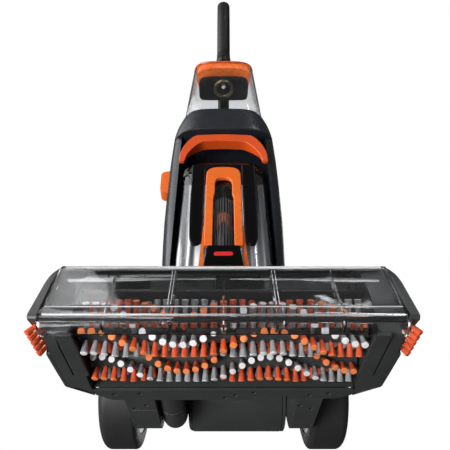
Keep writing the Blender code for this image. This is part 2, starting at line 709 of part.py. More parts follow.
def build_dirty_tank(upright, m):
    body = Body("dirty_tank", (0, front(TANK_BOTTOM), TANK_BOTTOM), upright)
    tank = tank_cup(TANK_BOTTOM, TANK_TOP, TANK_HALF, TANK_HALF - 2, TANK_DEPTH, 8.5, TANK_WALL, 3.4)
    add_part("dirty_tank", tank, m["clear"], body)

    lid_rings = []
    for z, half, near in ((TANK_TOP + GAP, 69, 7), (402, 67.5, 8), (LID_TOP - 3, 61, 14), (LID_TOP, 56, 20)):
        lid_rings.append(oval(half, front(z) + near, front(z) + TANK_DEPTH - (near - 7), z, 3.4, 28))
    lid = add_part("tank_lid", loft(lid_rings), m["black"], body)

    arch = [(TRIM_HALF, TRIM_BOTTOM), (TRIM_HALF, 370), (24.5, 380), (18, 386), (8, TRIM_TOP)]
    hole = [(SLOT_HALF, TRIM_BOTTOM), (SLOT_HALF, 350), (12.5, 358), (6, SLOT_TOP)]
    outline = [(-x, z) for x, z in arch] + list(reversed(arch))
    inner = hole + [(-x, z) for x, z in reversed(hole)]
    trim = leaning_plate(outline + inner, 0, 6.6)
    add_part("tank_trim", trim, m["orange"], body)

    stack = turn_lean([(TRIM_BOTTOM, 13), (350, 13), (358, 10)], 15)
    stack_part = add_part("float_cage", stack, m["grey"], body)
    combine(stack_part, block(-80, 80, front(200) + 8.2 - 1, 400, 190, 400), body)

    for side in (-1, 1):
        shield = [(28, 398), (28, 376), (30, 235), (34, 227), (42, 226), (46, 236), (48.5, 280),
                  (49, 376), (49, 398)]
        combine(lid, leaning_plate([(side * x, z) for x, z in shield], 3.5, 8.2), body, "UNION")
    y = front(TANK_TOP) + 42
    rod = turn_z([(286, 7), (292, 7), (292.1, 3.5), (392, 3.5)], 0, y, 12)
    combine(lid, rod, body, "UNION")
    float_body = Body("tank_float", (0, y, 293), body)
    ring = turn_z([(293, 12), (319, 12), (319, 4.3), (293, 4.3)], 0, y, 16, closed=True)
    add_part("tank_float", ring, m["orange"], float_body)
    badge = mirrored([(26, 185), (21.5, TRIM_BOTTOM - GAP)])
    add_part("badge_plate", leaning_plate(badge, -0.5, 7.4), m["black"], body)
    build_tank_handle(body, m)


def turn_lean(profile, depth):
    """Turned piece that follows the lean, its axis depth behind the front."""
    return loft([circle_z(0, front(z) + depth, z, radius) for z, radius in profile])


def build_tank_handle(tank, m):
    pivot_z = 409.0
    body = Body("tank_handle", (0, front(pivot_z) + 12, pivot_z), tank)
    outer = [(70.5, 404), (70, 425), (64, 447), (54, 466), (46, 474), (30, 475), (10, 476)]
    inner = [(62.5, 404), (58, 424), (48, 442), (36, 456), (10, 458)]
    left_outer = [(-x, z) for x, z in reversed(outer)]
    left_inner = [(-x, z) for x, z in inner]
    outline = outer + left_outer + left_inner + inner[::-1]
    near = [Vector((x, front(z) + 1, z)) for x, z in outline]
    far = [Vector((x, front(z) + handle_depth(z), z)) for x, z in outline]
    add_part("tank_handle", loft([near, far]), m["orange"], body)


def handle_depth(z):
    """The handle is thin at its feet and deep where the fingers hold it."""
    return 7.0 + 13.0 * min(1.0, max(0.0, (z - 412) / 40))


# ---------------------------------------------------------------- clean water tank

def build_clean_tank(upright, m):
    body = Body("clean_tank", (0, front(CLEAN_BOTTOM), CLEAN_BOTTOM), upright)
    tank = tank_cup(CLEAN_BOTTOM, CLEAN_TOP, CLEAN_HALF_LOW, CLEAN_HALF_HIGH, 72, 3, CLEAN_WALL, 3.6)
    add_part("clean_tank", tank, m["clear"], body)

    lid_body = Body("clean_tank_lid", (0, front(CLEAN_TOP) + 37, CLEAN_TOP), body)
    rings = []
    for z, inset in ((715, 3.2), (CLEAN_TOP + GAP, 3.2), (CLEAN_TOP + 0.4, 0), (CLEAN_TOP + 6, 3)):
        half = CLEAN_HALF_HIGH + (CLEAN_TOP - z) * (CLEAN_HALF_LOW - CLEAN_HALF_HIGH) / 185
        half = min(half, CLEAN_HALF_HIGH + 0.5)
        rings.append(oval(half - inset - 0.4, front(z) + 3 + inset + 0.4, front(z) + 72 - inset - 0.4,
                          z, 3.6, 28))
    add_part("clean_tank_lid", loft(rings), m["orange"], lid_body)
    rings = []
    for z, half, inset in ((678, 50, 0), (695, 50, 0), (695.1, 32, 12), (714.7, 32, 12)):
        rings.append(oval(half, front(z) + 16 + inset, front(z) + 66 - inset, z, 5.0))
    add_part("lid_insert", loft(rings), m["black"], lid_body)
    ring = turn_z([(672, 19.5), (677.7, 19.5), (677.7, 14), (672, 14)], 0, 192, 24, closed=True)
    add_part("valve_ring", ring, m["brass"], lid_body)


def main():
    clear_scene()
    materials = make_materials()
    base = Body("machine", (0, 0, 0))
    build_foot(base, materials)
    for side, name in ((-1, "left"), (1, "right")):
        build_end(base, materials, side, name)
        build_wheel(base, materials, side, name)
    build_rolls(base, materials)
    build_foot_inside(base, materials)
    build_arms(base, materials)
    build_pedal(base, materials)
    build_duct(base, materials)
    upright = Body("upright", (0, AXLE_Y, AXLE_Z), base)
    build_casing(upright, materials)
    build_barrel(upright, materials)
    build_casing_inside(upright, materials)
    build_collar(upright, materials)
    build_handle(upright, materials)
    build_hooks(upright, materials)
    build_dirty_tank(upright, materials)
    build_clean_tank(upright, materials)


main()
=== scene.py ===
"""Looks of the upright carpet cleaner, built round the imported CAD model.

Every piece is modelled in the machine's own millimetres: X to its left and right, Y from the front
brush roll's axis to the rear, Z up. new_object() turns them into metres and moves them by ROLL_Y.
"""

import math
import random

import bmesh
import bpy
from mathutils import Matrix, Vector


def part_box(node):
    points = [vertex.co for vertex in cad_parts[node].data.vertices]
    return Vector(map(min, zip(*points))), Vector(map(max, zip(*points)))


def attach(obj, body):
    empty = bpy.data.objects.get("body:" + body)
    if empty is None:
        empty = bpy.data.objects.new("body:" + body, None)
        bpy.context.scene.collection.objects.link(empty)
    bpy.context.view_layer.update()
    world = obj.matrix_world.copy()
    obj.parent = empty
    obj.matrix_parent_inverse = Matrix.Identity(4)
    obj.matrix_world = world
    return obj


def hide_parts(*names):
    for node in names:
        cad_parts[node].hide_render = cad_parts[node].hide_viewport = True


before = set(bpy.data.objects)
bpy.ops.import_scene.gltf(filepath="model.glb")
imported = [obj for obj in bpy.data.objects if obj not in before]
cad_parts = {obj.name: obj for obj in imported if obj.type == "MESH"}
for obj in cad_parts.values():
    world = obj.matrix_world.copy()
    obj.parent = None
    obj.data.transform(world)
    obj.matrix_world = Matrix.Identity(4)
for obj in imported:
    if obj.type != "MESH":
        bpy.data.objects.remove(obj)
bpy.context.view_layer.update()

MM = 0.001
SIDES = ((-1, "left"), (1, "right"))


def axis_of(node):
    """Y and Z of the middle of a CAD node, in millimetres."""
    low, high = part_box(node)
    return (low.y + high.y) / 2 / MM, (low.z + high.z) / 2 / MM


ROLL_Y, ROLL_Z = axis_of("front_brush_roll")
ROLL_SPACING = axis_of("rear_brush_roll")[0] - ROLL_Y
hub_y, AXLE_Z = axis_of("hub_right")
AXLE_Y = hub_y - ROLL_Y
LEAN = 0.07              # how far the upright's front surface leans back for each mm of height
FRONT_AT_200 = 125.0
SHARP = 38               # degrees; edges sharper than this are not shaded smooth


def front(z):
    """Y of the upright's front surface at height z."""
    return FRONT_AT_200 + LEAN * (z - 200.0)


def span(side, x0, x1):
    """The two X limits of a part on one side, in rising order."""
    return sorted((side * x0, side * x1))


def on(side, points):
    """An outline drawn for the right-hand side, moved to the side that is asked for."""
    return [(side * x, other) for x, other in points]


# ---- shapes

def loft(rings, closed=False, slots=None):
    """Skin over rings of equal length; slots gives each band's material slot."""
    mesh = bmesh.new()
    rows = [[mesh.verts.new(point) for point in ring] for ring in rings]
    count = len(rows[0])
    pairs = list(zip(rows, rows[1:]))
    if closed:
        pairs.append((rows[-1], rows[0]))
    for band, (low, high) in enumerate(pairs):
        for i in range(count):
            j = (i + 1) % count
            face = mesh.faces.new((low[i], low[j], high[j], high[i]))
            if slots:
                face.material_index = slots[band]
    if not closed:
        start = mesh.faces.new(list(reversed(rows[0])))
        end = mesh.faces.new(rows[-1])
        if slots:
            start.material_index = slots[0]
            end.material_index = slots[-1]
    bmesh.ops.recalc_face_normals(mesh, faces=mesh.faces)
    return mesh


def merge(meshes):
    """One bmesh out of several closed shells."""
    whole = bmesh.new()
    for mesh in meshes:
        data = bpy.data.meshes.new("part")
        mesh.to_mesh(data)
        mesh.free()
        whole.from_mesh(data)
        bpy.data.meshes.remove(data)
    return whole


def prism_x(outline, x0, x1):
    return loft([[Vector((x, y, z)) for y, z in outline] for x in (x0, x1)])


def prism_y(outline, y0, y1):
    return loft([[Vector((x, y, z)) for x, z in outline] for y in (y0, y1)])


def prism_z(outline, z0, z1):
    return loft([[Vector((x, y, z)) for x, y in outline] for z in (z0, z1)])


def block(x0, x1, y0, y1, z0, z1):
    return prism_z([(x0, y0), (x1, y0), (x1, y1), (x0, y1)], z0, z1)


def leaning_plate(outline, near, far):
    """Outline of (x, z) points, from near to far behind the leaning front surface."""
    return loft([[Vector((x, front(z) + depth, z)) for x, z in outline] for depth in (near, far)])


def oval(half_width, near, far, z, power=4.0, count=72):
    """Level ring between near and far in Y; a higher power makes it squarer."""
    middle = (near + far) / 2
    half_depth = (far - near) / 2
    ring = []
    for i in range(count):
        angle = 2 * math.pi * (i + 0.5) / count
        c = math.cos(angle)
        s = math.sin(angle)
        ring.append(Vector((half_width * math.copysign(abs(c) ** (2 / power), c),
                            middle + half_depth * math.copysign(abs(s) ** (2 / power), s), z)))
    return ring


def angles(count):
    return [2 * math.pi * i / count for i in range(count)]


def circle_x(x, y, z, radius, count):
    return [Vector((x, y + radius * math.cos(a), z + radius * math.sin(a))) for a in angles(count)]


def circle_y(x, y, z, radius, count):
    return [Vector((x + radius * math.cos(a), y, z + radius * math.sin(a))) for a in angles(count)]


def circle_z(x, y, z, radius, count):
    return [Vector((x + radius * math.cos(a), y + radius * math.sin(a), z)) for a in angles(count)]


def turn_x(profile, y, z, count=64, closed=False):
    return loft([circle_x(x, y, z, radius, count) for x, radius in profile], closed)


def rod_x(x0, x1, radius, y, z, count=32):
    return turn_x([(x0, radius), (x1, radius)], y, z, count)


def turn_z(profile, x, y, count=40, closed=False):
    return loft([circle_z(x, y, z, radius, count) for z, radius in profile], closed)


def turn_lean(profile, depth, count=40):
    """Turned piece that follows the body's lean, its axis depth behind the front surface."""
    return loft([circle_z(0, front(z) + depth, z, radius, count) for z, radius in profile])


def arc(cy, cz, radius, start, end, steps):
    points = []
    for i in range(steps + 1):
        angle = math.radians(start + (end - start) * i / steps)
        points.append((cy + radius * math.cos(angle), cz + radius * math.sin(angle)))
    return points


def rounded(outline, radii, steps=5):
    """Outline with its corners rounded by quadratic curves; radii is one number or one each."""
    if not isinstance(radii, (list, tuple)):
        radii = [radii] * len(outline)
    points = []
    count = len(outline)
    for i, corner in enumerate(outline):
        corner = Vector(corner)
        before = Vector(outline[i - 1]) - corner
        after = Vector(outline[(i + 1) % count]) - corner
        reach = min(radii[i], before.length * 0.49, after.length * 0.49)
        if reach <= 0.01:
            points.append(tuple(corner))
            continue
        start = corner + before.normalized() * reach
        end = corner + after.normalized() * reach
        for k in range(steps + 1):
            t = k / steps
            points.append(tuple(start * (1 - t) ** 2 + corner * (2 * t * (1 - t)) + end * t * t))
    return points


def spline_point(a, b, c, d, t):
    """Catmull-Rom point between b and c."""
    return 0.5 * (2 * b + (c - a) * t + (2 * a - 5 * b + 4 * c - d) * t * t
                  + (3 * b - a - 3 * c + d) * t ** 3)


def smooth_path(points, steps):
    """Curve through the given points."""
    ends = [points[0] * 2 - points[1]] + points + [points[-1] * 2 - points[-2]]
    path = []
    for corners in zip(ends, ends[1:], ends[2:], ends[3:]):
        path += [spline_point(*corners, i / steps) for i in range(steps)]
    return path + [points[-1]]


def closed_curve(points, steps):
    """Curve through the given points and back to the first."""
    count = len(points)
    path = []
    for i in range(count):
        corners = [points[(i + k) % count] for k in (-1, 0, 1, 2)]
        path += [spline_point(*corners, k / steps) for k in range(steps)]
    return path


def sweep(path, radius, count=32):
    """Rings square to a path; radius is a number or one for each point."""
    rings = []
    side = Vector((1, 0, 0))
    for i, point in enumerate(path):
        ahead = (path[min(i + 1, len(path) - 1)] - path[max(i - 1, 0)]).normalized()
        side = (side - ahead * side.dot(ahead)).normalized()
        up = ahead.cross(side)
        size = radius[i] if isinstance(radius, list) else radius
        rings.append([point + (side * math.cos(a) + up * math.sin(a)) * size
                      for a in angles(count)])
    return rings


def flipped(points):
    """The mirror image of an outline of (x, z) points, in reverse order."""
    return [(-x, z) for x, z in reversed(points)]


# ---- pieces

def new_object(name, mesh, materials, sharp=SHARP):
    """Object from a bmesh in the machine's millimetres."""
    for vert in mesh.verts:
        vert.co = Vector((vert.co.x, vert.co.y + ROLL_Y, vert.co.z)) * MM
    data = bpy.data.meshes.new(name)
    mesh.to_mesh(data)
    mesh.free()
    for material in materials:
        data.materials.append(material)
    data.shade_smooth()
    data.set_sharp_from_angle(angle=math.radians(sharp))
    piece = bpy.data.objects.new(name, data)
    bpy.context.scene.collection.objects.link(piece)
    return piece


def add_piece(name, mesh, finish, body, stands_for=None, bevel=0.0, segments=3,
              sharp=SHARP):
    """Piece that rides on a CAD body. finish names a material, or a list of them.

    stands_for names the CAD node that the piece is shown in place of.
    """
    finishes = finish if isinstance(finish, list) else [finish]
    piece = new_object(name, mesh, [MAT[each] for each in finishes], sharp)
    if bevel:
        modifier = piece.modifiers.new("bevel", "BEVEL")
        modifier.width = bevel * MM
        modifier.segments = segments
        modifier.limit_method = "ANGLE"
        modifier.angle_limit = math.radians(32)
        modifier.harden_normals = True
    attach(piece, body)
    if stands_for:
        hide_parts(stands_for)
    return piece


def boolean(piece, mesh, operation="DIFFERENCE"):
    """Cut or join a shape into a piece, ahead of its bevel, and keep the result."""
    helper = new_object(piece.name + "_tool", mesh, piece.data.materials)
    others = list(piece.modifiers)
    for other in others:
        other.show_viewport = False
    modifier = piece.modifiers.new("cut", "BOOLEAN")
    modifier.operation = operation
    modifier.object = helper
    graph = bpy.context.evaluated_depsgraph_get()
    result = bpy.data.meshes.new_from_object(piece.evaluated_get(graph))
    piece.modifiers.remove(modifier)
    piece.data = result
    for other in others:
        other.show_viewport = True
    bpy.data.objects.remove(helper, do_unlink=True)
    piece.data.shade_smooth()
    piece.data.set_sharp_from_angle(angle=math.radians(SHARP))


# ---- materials

class Tree:
    """Short calls for building a node tree."""

    def __init__(self, owner):
        owner.use_nodes = True
        self.tree = owner.node_tree

    def put(self, target, value):
        """Set an input to a number or a colour, or link it to another node's output."""
        if isinstance(value, bpy.types.NodeSocket):
            self.tree.links.new(value, target)
        else:
            target.default_value = value

    def node(self, kind, **values):
        """New node; values are its inputs, with _ for each space in their names."""
        node = self.tree.nodes.new("ShaderNode" + kind)
        for name, value in values.items():
            self.put(node.inputs[name.replace("_", " ")], value)
        return node

    def math(self, operation, *values):
        node = self.node("Math")
        node.operation = operation
        for target, value in zip(node.inputs, values):
            self.put(target, value)
        return node.outputs[0]

    def mix(self, factor, first, second):
        node = self.node("MixShader", Fac=factor)
        self.put(node.inputs[1], first.outputs[0])
        self.put(node.inputs[2], second.outputs[0])
        return node.outputs[0]


class Finish(Tree):
    """A material's tree, with textures laid out in the object's own coordinates."""

    def __init__(self, name):
        self.material = bpy.data.materials.new(name)
        super().__init__(self.material)
        self.shader = self.tree.nodes["Principled BSDF"]
        self.coords = self.node("TexCoord").outputs["Object"]

    def noise(self, scale, detail=3.0, stretch=None):
        source = self.coords
        if stretch:
            source = self.node("Mapping", Scale=stretch, Vector=source).outputs["Vector"]
        return self.node("TexNoise", Scale=scale, Detail=detail, Vector=source).outputs["Fac"]

    def cells(self, scale):
        return self.node("TexVoronoi", Scale=scale, Vector=self.coords).outputs["Distance"]

    def colour(self, source, stops):
        """Colour ramp over a texture; stops are pairs of a place and a colour."""
        node = self.node("ValToRGB", Fac=source)
        ramp = node.color_ramp
        while len(ramp.elements) < len(stops):
            ramp.elements.new(0.5)
        for element, (place, colour) in zip(ramp.elements, stops):
            element.position = place
            element.color = (*colour, 1.0)
        self.fixed(Base_Color=node.outputs["Color"])

    def roughness(self, source, low, high):
        """Roughness that follows a texture, from low to high."""
        node = self.node("MapRange", From_Min=0.3, From_Max=0.7, To_Min=low, To_Max=high,
                         Value=source)
        self.fixed(Roughness=node.outputs["Result"])

    def bump(self, source, strength, distance):
        node = self.node("Bump", Strength=strength, Distance=distance, Height=source)
        self.fixed(Normal=node.outputs["Normal"])

    def fixed(self, **values):
        for name, value in values.items():
            self.put(self.shader.inputs[name.replace("_", " ")], value)


def shade(colour, factor):
    return tuple(min(1.0, channel * factor) for channel in colour)


def moulded(name, colour, rough, grain=2600.0, relief=0.25, vary=0.12, **values):
    """Injection-moulded plastic: fine spark-eroded grain, faint mottling and uneven gloss."""
    look = Finish(name)
    look.colour(look.noise(28.0, 4.0), ((0.3, shade(colour, 1 - vary)),
                                        (0.7, shade(colour, 1 + vary))))
    look.roughness(look.noise(60.0, 5.0), rough * 0.88, rough * 1.12)
    look.bump(look.noise(grain, 2.0), relief, 0.0002)
    look.fixed(**values)
    return look.material


def clear_plastic(name, colour, rough=0.02, wave=0.12):
    """Clear moulded plastic with a slight waviness from the mould."""
    look = Finish(name)
    look.colour(look.noise(9.0, 2.0), ((0.3, shade(colour, 0.97)), (0.7, colour)))
    look.roughness(look.noise(40.0, 3.0), rough, rough * 2.2)
    look.bump(look.noise(22.0, 1.5), wave, 0.002)
    look.fixed(Transmission_Weight=1.0, IOR=1.46)
    return look.material


def painted_streaks(name, stops, stretch, rough=0.2):
    """Painted reflections and highlights for clear plastic: pale and dark streaks along one way."""
    look = Finish(name)
    look.colour(look.noise(1.0, 4.0, stretch), stops)
    look.roughness(look.noise(50.0), rough * 0.7, rough * 1.4)
    look.bump(look.noise(1.0, 3.0, stretch), 0.3, 0.001)
    return look.material


def filament(name, dark, light):
    """Nylon bristle: the ends of many thin filaments, uneven in tone."""
    look = Finish(name)
    cells = look.cells(1900.0)
    look.colour(cells, ((0.1, light), (0.75, dark)))
    look.roughness(look.noise(400.0), 0.45, 0.7)
    look.bump(cells, 0.5, 0.0006)
    return look.material


def metal(name, colour, rough):
    """Brushed metal."""
    look = Finish(name)
    brushed = (1, 1, 0.05)
    look.colour(look.noise(45.0, 4.0), ((0.3, shade(colour, 0.85)), (0.7, colour)))
    look.roughness(look.noise(900.0, 2.0, brushed), rough, rough * 1.6)
    look.bump(look.noise(1500.0, 2.0, brushed), 0.15, 0.0002)
    look.fixed(Metallic=1.0)
    return look.material


def greys(*stops):
    return [(place, (tone, tone, tone)) for place, tone in stops]


MAT = {
    "charcoal": moulded("charcoal_plastic", (0.038, 0.039, 0.04), 0.4),
    "casing": moulded("casing_plastic", (0.019, 0.022, 0.028), 0.28, relief=0.12),
    "black": moulded("gloss_black", (0.002, 0.002, 0.0025), 0.14, relief=0.02,
                     Specular_IOR_Level=0.3),
    "satin": moulded("satin_black", (0.01, 0.01, 0.011), 0.3, relief=0.1),
    "rubber": moulded("grip_rubber", (0.006, 0.006, 0.006), 0.5, grain=1500.0, relief=0.4),
    "orange": moulded("orange_plastic", (0.82, 0.15, 0.016), 0.28, relief=0.05, vary=0.05,
                      Coat_Weight=0.3),
    "orange_deep": moulded("orange_deep_plastic", (0.72, 0.085, 0.012), 0.3, relief=0.05,
                           vary=0.05, Coat_Weight=0.3),
    "red": moulded("red_mark", (0.75, 0.02, 0.02), 0.35, relief=0.02, vary=0.05),
    "tyre": moulded("tyre_rubber", (0.018, 0.018, 0.018), 0.55, grain=900.0, relief=0.5),
    "grey": moulded("grey_plastic", (0.035, 0.038, 0.038), 0.35, relief=0.1),
    "frost": moulded("frosted_plastic", (0.5, 0.5, 0.51), 0.35, relief=0.1),
    "clear": clear_plastic("clear_plastic", (0.93, 0.94, 0.95)),
    "clear_tank": clear_plastic("clear_tank_plastic", (0.9, 0.91, 0.92), wave=0.2),
    # bristle sides are darker copies of the tip colours: painted shade on the tufts' sides
    "white_tip": filament("white_bristle_tip", (0.75, 0.75, 0.76), (0.95, 0.95, 0.95)),
    "white_side": filament("white_bristle_shaded_side", (0.24, 0.24, 0.25), (0.46, 0.46, 0.47)),
    "orange_tip": filament("orange_bristle_tip", (0.9, 0.19, 0.04), (0.98, 0.34, 0.1)),
    "orange_side": filament("orange_bristle_shaded_side", (0.6, 0.055, 0.014), (0.9, 0.15, 0.035)),
    # painted reflections and painted highlights: streaks of light and shade drawn on clear plastic
    "streak_along": painted_streaks("painted_reflection_streaks_along",
                             greys((0.36, 0.05), (0.46, 0.14), (0.56, 0.34)), (6, 160, 260)),
    "bright_bar": painted_streaks("painted_highlight_bar", greys((0.36, 0.14), (0.52, 0.5)), (5, 160, 260)),
    "streak_up": painted_streaks("painted_reflection_streaks_up", ((0.42, (0.01, 0.01, 0.012)),
                                               (0.5, (0.12, 0.12, 0.125)),
                                               (0.56, (0.35, 0.35, 0.36)),
                                               (0.6, (0.95, 0.95, 0.95))), (75, 1, 1.2)),
    "steel": metal("steel", (0.55, 0.55, 0.57), 0.28),
    "steel_black": metal("blackened_steel", (0.06, 0.06, 0.065), 0.35),
    "brass": metal("brass", (0.5, 0.42, 0.2), 0.25),
}


# ---- foot

CHAMBER_HALF = 127.7
HOUSING_HALF = 150.0
FOOT_HALF = 158.0
FOOT_REAR = 104.0
AXLE_HOLE = 5.3
LINE_HALF = 147          # half the length of the lines along the nozzle's ridge
WALL_FOOT_Y = -26.4      # the inner wall's front at WALL_FOOT_Z, and how far it leans back
WALL_FOOT_Z = 28
WALL_LEAN = 13.9 / 46


def cover_line(inset):
    """Outer line of the top cover from the window to the rear, moved inwards by inset."""
    return [(-7, 89 - inset), (10, 98 - inset), (40, 105 - inset), (74, 106 - inset),
            (94 - inset * 0.7, 100 - inset * 0.7), (FOOT_REAR - inset, 84),
            (FOOT_REAR - inset, 8.5)]


def window_line(inset):
    """Front line of the clear nozzle from its lip to the top, with the ridge above the lip."""
    ridge = rounded([(-40.5, 3), (-45.6, 6), (-46, 14), (-40.6, 23), (-39.2, 25.5), (-31, 49),
                     (-21, 79), (-7.3, 88.6)], [0, 1, 4, 1.2, 1.2, 8, 6, 0], 4)
    moved = [(y + inset, max(0.0, z - inset * 0.35 * (z > 26))) for y, z in ridge[:-1]]
    return moved + [(-7.3, 88.6 - inset)]


def make_nozzle():
    outer = window_line(0) + [(-7.3, 84), (-13, 78), (-26.2, 40), (-26.2, 3)]
    window = add_piece("nozzle_window_clear", prism_x(outer, -HOUSING_HALF, HOUSING_HALF), "clear",
                       "base", "nozzle_window", bevel=0.5, segments=2)
    wall = 2.4
    inner = window_line(wall)
    inner[0] = (inner[0][0], -1)
    hollow = inner + [(0, 86.2), (0, -1)]
    boolean(window, prism_x(hollow, -HOUSING_HALF + wall, HOUSING_HALF - wall))

    sheet = rounded([(-29, 3), (-26.4, 28), (-12.5, 74), (-14.5, 74), (-28.4, 28), (-31, 3)],
                    1.0, 2)
    shells = [prism_x(sheet, -CHAMBER_HALF, CHAMBER_HALF)]
    rib = [(-42.5, 5), (-42.8, 12), (-37, 25), (-20, 74), (-15, 74), (-28.9, 28), (-31.5, 4)]
    for x, half in ((-98, 0.8), (-43, 1.2), (0, 0.8), (43, 1.2), (98, 0.8)):
        shells.append(prism_x(rib, x - half, x + half))
    add_piece("nozzle_inner_clear", merge(shells), "clear", "base", "nozzle_inner_wall", bevel=0.3,
              segments=2)


def make_nozzle_inside():
    """Painted highlight as a pale bar along the window's top; channel edges with painted
    reflections.
    """
    # pale bar along the window's top: a painted highlight
    highlight_strip = rounded([(-19.5, 75.5), (-17.2, 75.2), (-9.5, 83.5), (-10.5, 85.6), (-18.4, 78.6)],
                  0.8, 3)
    add_piece("nozzle_top_highlight", prism_x(highlight_strip, -146, 146), "bright_bar", "base")
    # strips at the suction channel's frosted edges; their grey streaks are painted reflections
    edge = [(142, 65), (110, 66.5), (60, 66), (6, 65.4), (6, 64.6), (60, 63.4), (92, 62),
            (116, 60.5), (140, 60.5)]
    shells = [loft([[Vector((x, wall_front(z) + depth, z)) for x, z in on(side, edge)]
                    for depth in (0, 0.8)]) for side, _ in SIDES]
    add_piece("suction_channel_edge_reflections", merge(shells), "streak_along", "base")
    seal = block(-LINE_HALF, LINE_HALF, -43.2, -42.2, 8.2, 11.6)
    add_piece("nozzle_lip_seal", seal, "rubber", "base", bevel=0.3)


def wall_front(z):
    """Y of a surface 3 mm in front of the nozzle's inner wall."""
    return WALL_FOOT_Y + (z - WALL_FOOT_Z) * WALL_LEAN - 3.0


def make_ridge_edges():
    """Pale lines where light catches the edges of the nozzle's ridge and ribs."""
    lines = []
    for low, high in ((12.6, 14.2), (21.4, 22.2)):
        lines.append(block(-LINE_HALF, LINE_HALF, -43, -42.3, low, high))
    for x in (-96.5, -48.5, 0, 48.5, 96.5):
        lines.append(block(x - 0.5, x + 0.5, -43, -42.6, 5.5, 8))
        lines.append(block(x - 0.45, x + 0.45, -43.3, -42.6, 14.4, 21.2))
    rib = [(-36.4, 27), (-28.2, 49), (-19.6, 74.6), (-19, 74.6), (-27.6, 49), (-35.8, 27)]
    for x in (-46.8, -44.2, 44.2, 46.8):
        lines.append(prism_x(rib, x - 0.3, x + 0.3))
    add_piece("nozzle_ridge_edges", merge(lines), "bright_bar", "base")


def make_top_cover():
    cover = cover_line(0) + list(reversed(cover_line(2.8)))
    radii = [0.5, 12, 30, 14, 10, 5, 0.5, 0.5, 4, 8, 12, 28, 10, 0.5]
    add_piece("top_cover_shell", prism_x(rounded(cover, radii, 6), -CHAMBER_HALF, CHAMBER_HALF),
              "black", "base", "top_cover", bevel=0.6)


PLATE_SCREWS = ((-108, 90), (-82, 88), (12, 92), (2, 99), (30, 86), (86, 92), (104, 88))


def make_bottom_plate():
    plate = [(-127.3, 79.9), (127.3, 79.9), (127.3, 91), (112, 100), (66, 101), (64, 93), (32, 93),
             (30, FOOT_REAR), (-112, FOOT_REAR), (-127.3, 91)]
    radii = [0, 0, 2, 3, 3, 3, 3, 3, 3, 3]
    piece = add_piece("bottom_plate_moulded", prism_z(rounded(plate, radii), 3.0, 5.8), "charcoal",
                      "base", "bottom_plate", bevel=0.7)
    boolean(piece, merge([turn_z([(2, 2.6), (4.4, 2.6)], x, y, 20) for x, y in PLATE_SCREWS]))
    for number, (x, y) in enumerate(PLATE_SCREWS):
        make_screw(f"plate_screw_{number}", x, y, 3.9)


def make_screw(name, x, y, z):
    """Pan-head screw seen from below, with a cross recess."""
    head = turn_z([(z, 1.4), (z + 0.15, 1.9), (z + 0.5, 2.1), (z + 2, 2.1)], x, y, 20)
    screw = add_piece(name, head, "steel_black", "base")
    thin = 0.28
    long = 1.3
    cross = [(thin, thin), (thin, long), (-thin, long), (-thin, thin), (-long, thin),
             (-long, -thin), (-thin, -thin), (-thin, -long), (thin, -long), (thin, -thin),
             (long, -thin), (long, thin)]
    boolean(screw, prism_z([(x + dx, y + dy) for dx, dy in cross], z - 1, z + 0.45))


HOUSING_PROFILE = [(-26, 6), (-26, 40), (-13, 78), (-7, 84), (-6.6, 88.8), (10, 98), (40, 105),
                   (74, 106), (94, 100), (104, 84), (104, 8), (96, 3), (-10, 3)]
HOUSING_RADII = [6, 6, 6, 0.5, 0.5, 12, 30, 14, 10, 6, 6, 3, 6]
SIDE_PROFILE = [(-44, 9), (-46, 12), (-30, 61), (-10, 86), (10, 98), (40, 105), (74, 106),
                (94, 100), (97, 84), (97, 3), (4, 3), (4, 9)]
SIDE_RADII = [1, 2, 12, 14, 14, 30, 14, 10, 4, 4, 3, 1]


def make_end_housing(side, name):
    profile = rounded(HOUSING_PROFILE, HOUSING_RADII, 5)
    housing = add_piece("end_housing_moulded_" + name,
                        prism_x(profile, *span(side, CHAMBER_HALF + 0.3, HOUSING_HALF)), "charcoal",
                        "base", "end_housing_" + name, bevel=0.7)
    pocket = [(-14, 10), (-20, 40), (-8, 76), (12, 92), (72, 100), (90, 94), (97, 12)]
    boolean(housing, prism_x(pocket, *span(side, 134, HOUSING_HALF + 1)))
    corner = [(127, 93), (127, 120), (160, 120), (160, 65)]
    boolean(housing, prism_z(on(side, corner), -1, 120))
    boolean(housing, block(*span(side, 138.4, 139.6), -24, 48, 1, 12))
    groove = [(147.5, 74.5), (129.5, 90.3), (129.5, 85), (143, 73)]
    boolean(housing, prism_z(on(side, groove), 1, 24))
    for y in (0, ROLL_SPACING):
        boolean(housing, rod_x(*span(side, CHAMBER_HALF - 2, 136), 8.3, y, ROLL_Z))


def make_side_cover(side, name):
    """Side cover, the runner along the chamber's lower edge, and a dark block as painted shade in
    its rear corner.
    """
    inside = HOUSING_HALF + 0.3
    plan = [(FOOT_HALF, -46), (155.6, -30), (154.4, -12), (153.6, 8), (153.2, 40), (152.6, 70),
            (inside, 74), (inside, -46)]
    cover = add_piece("side_cover_moulded_" + name, prism_z(on(side, plan), -5, 125), "charcoal",
                      "base", "side_cover_" + name, bevel=1.0)
    profile = rounded(SIDE_PROFILE, SIDE_RADII, 5)
    boolean(cover, prism_x(profile, *span(side, 140, 170)), "INTERSECT")
    runner = on(side, [(124.5, -29), (137.9, -29), (137.9, 47), (124.5, 47)])
    add_piece("runner_" + name, prism_z(rounded(runner, 1, 2), 2.4, 6.0), "charcoal", "base",
              bevel=0.6)
    # dark block that closes the gap at the plate's rear corner: painted shade where only shade
    # shows
    seal = block(*span(side, 126.4, 128.4), 76.5, 83, 3.4, 12)
    add_piece("corner_shade_filler_" + name, seal, "rubber", "base")


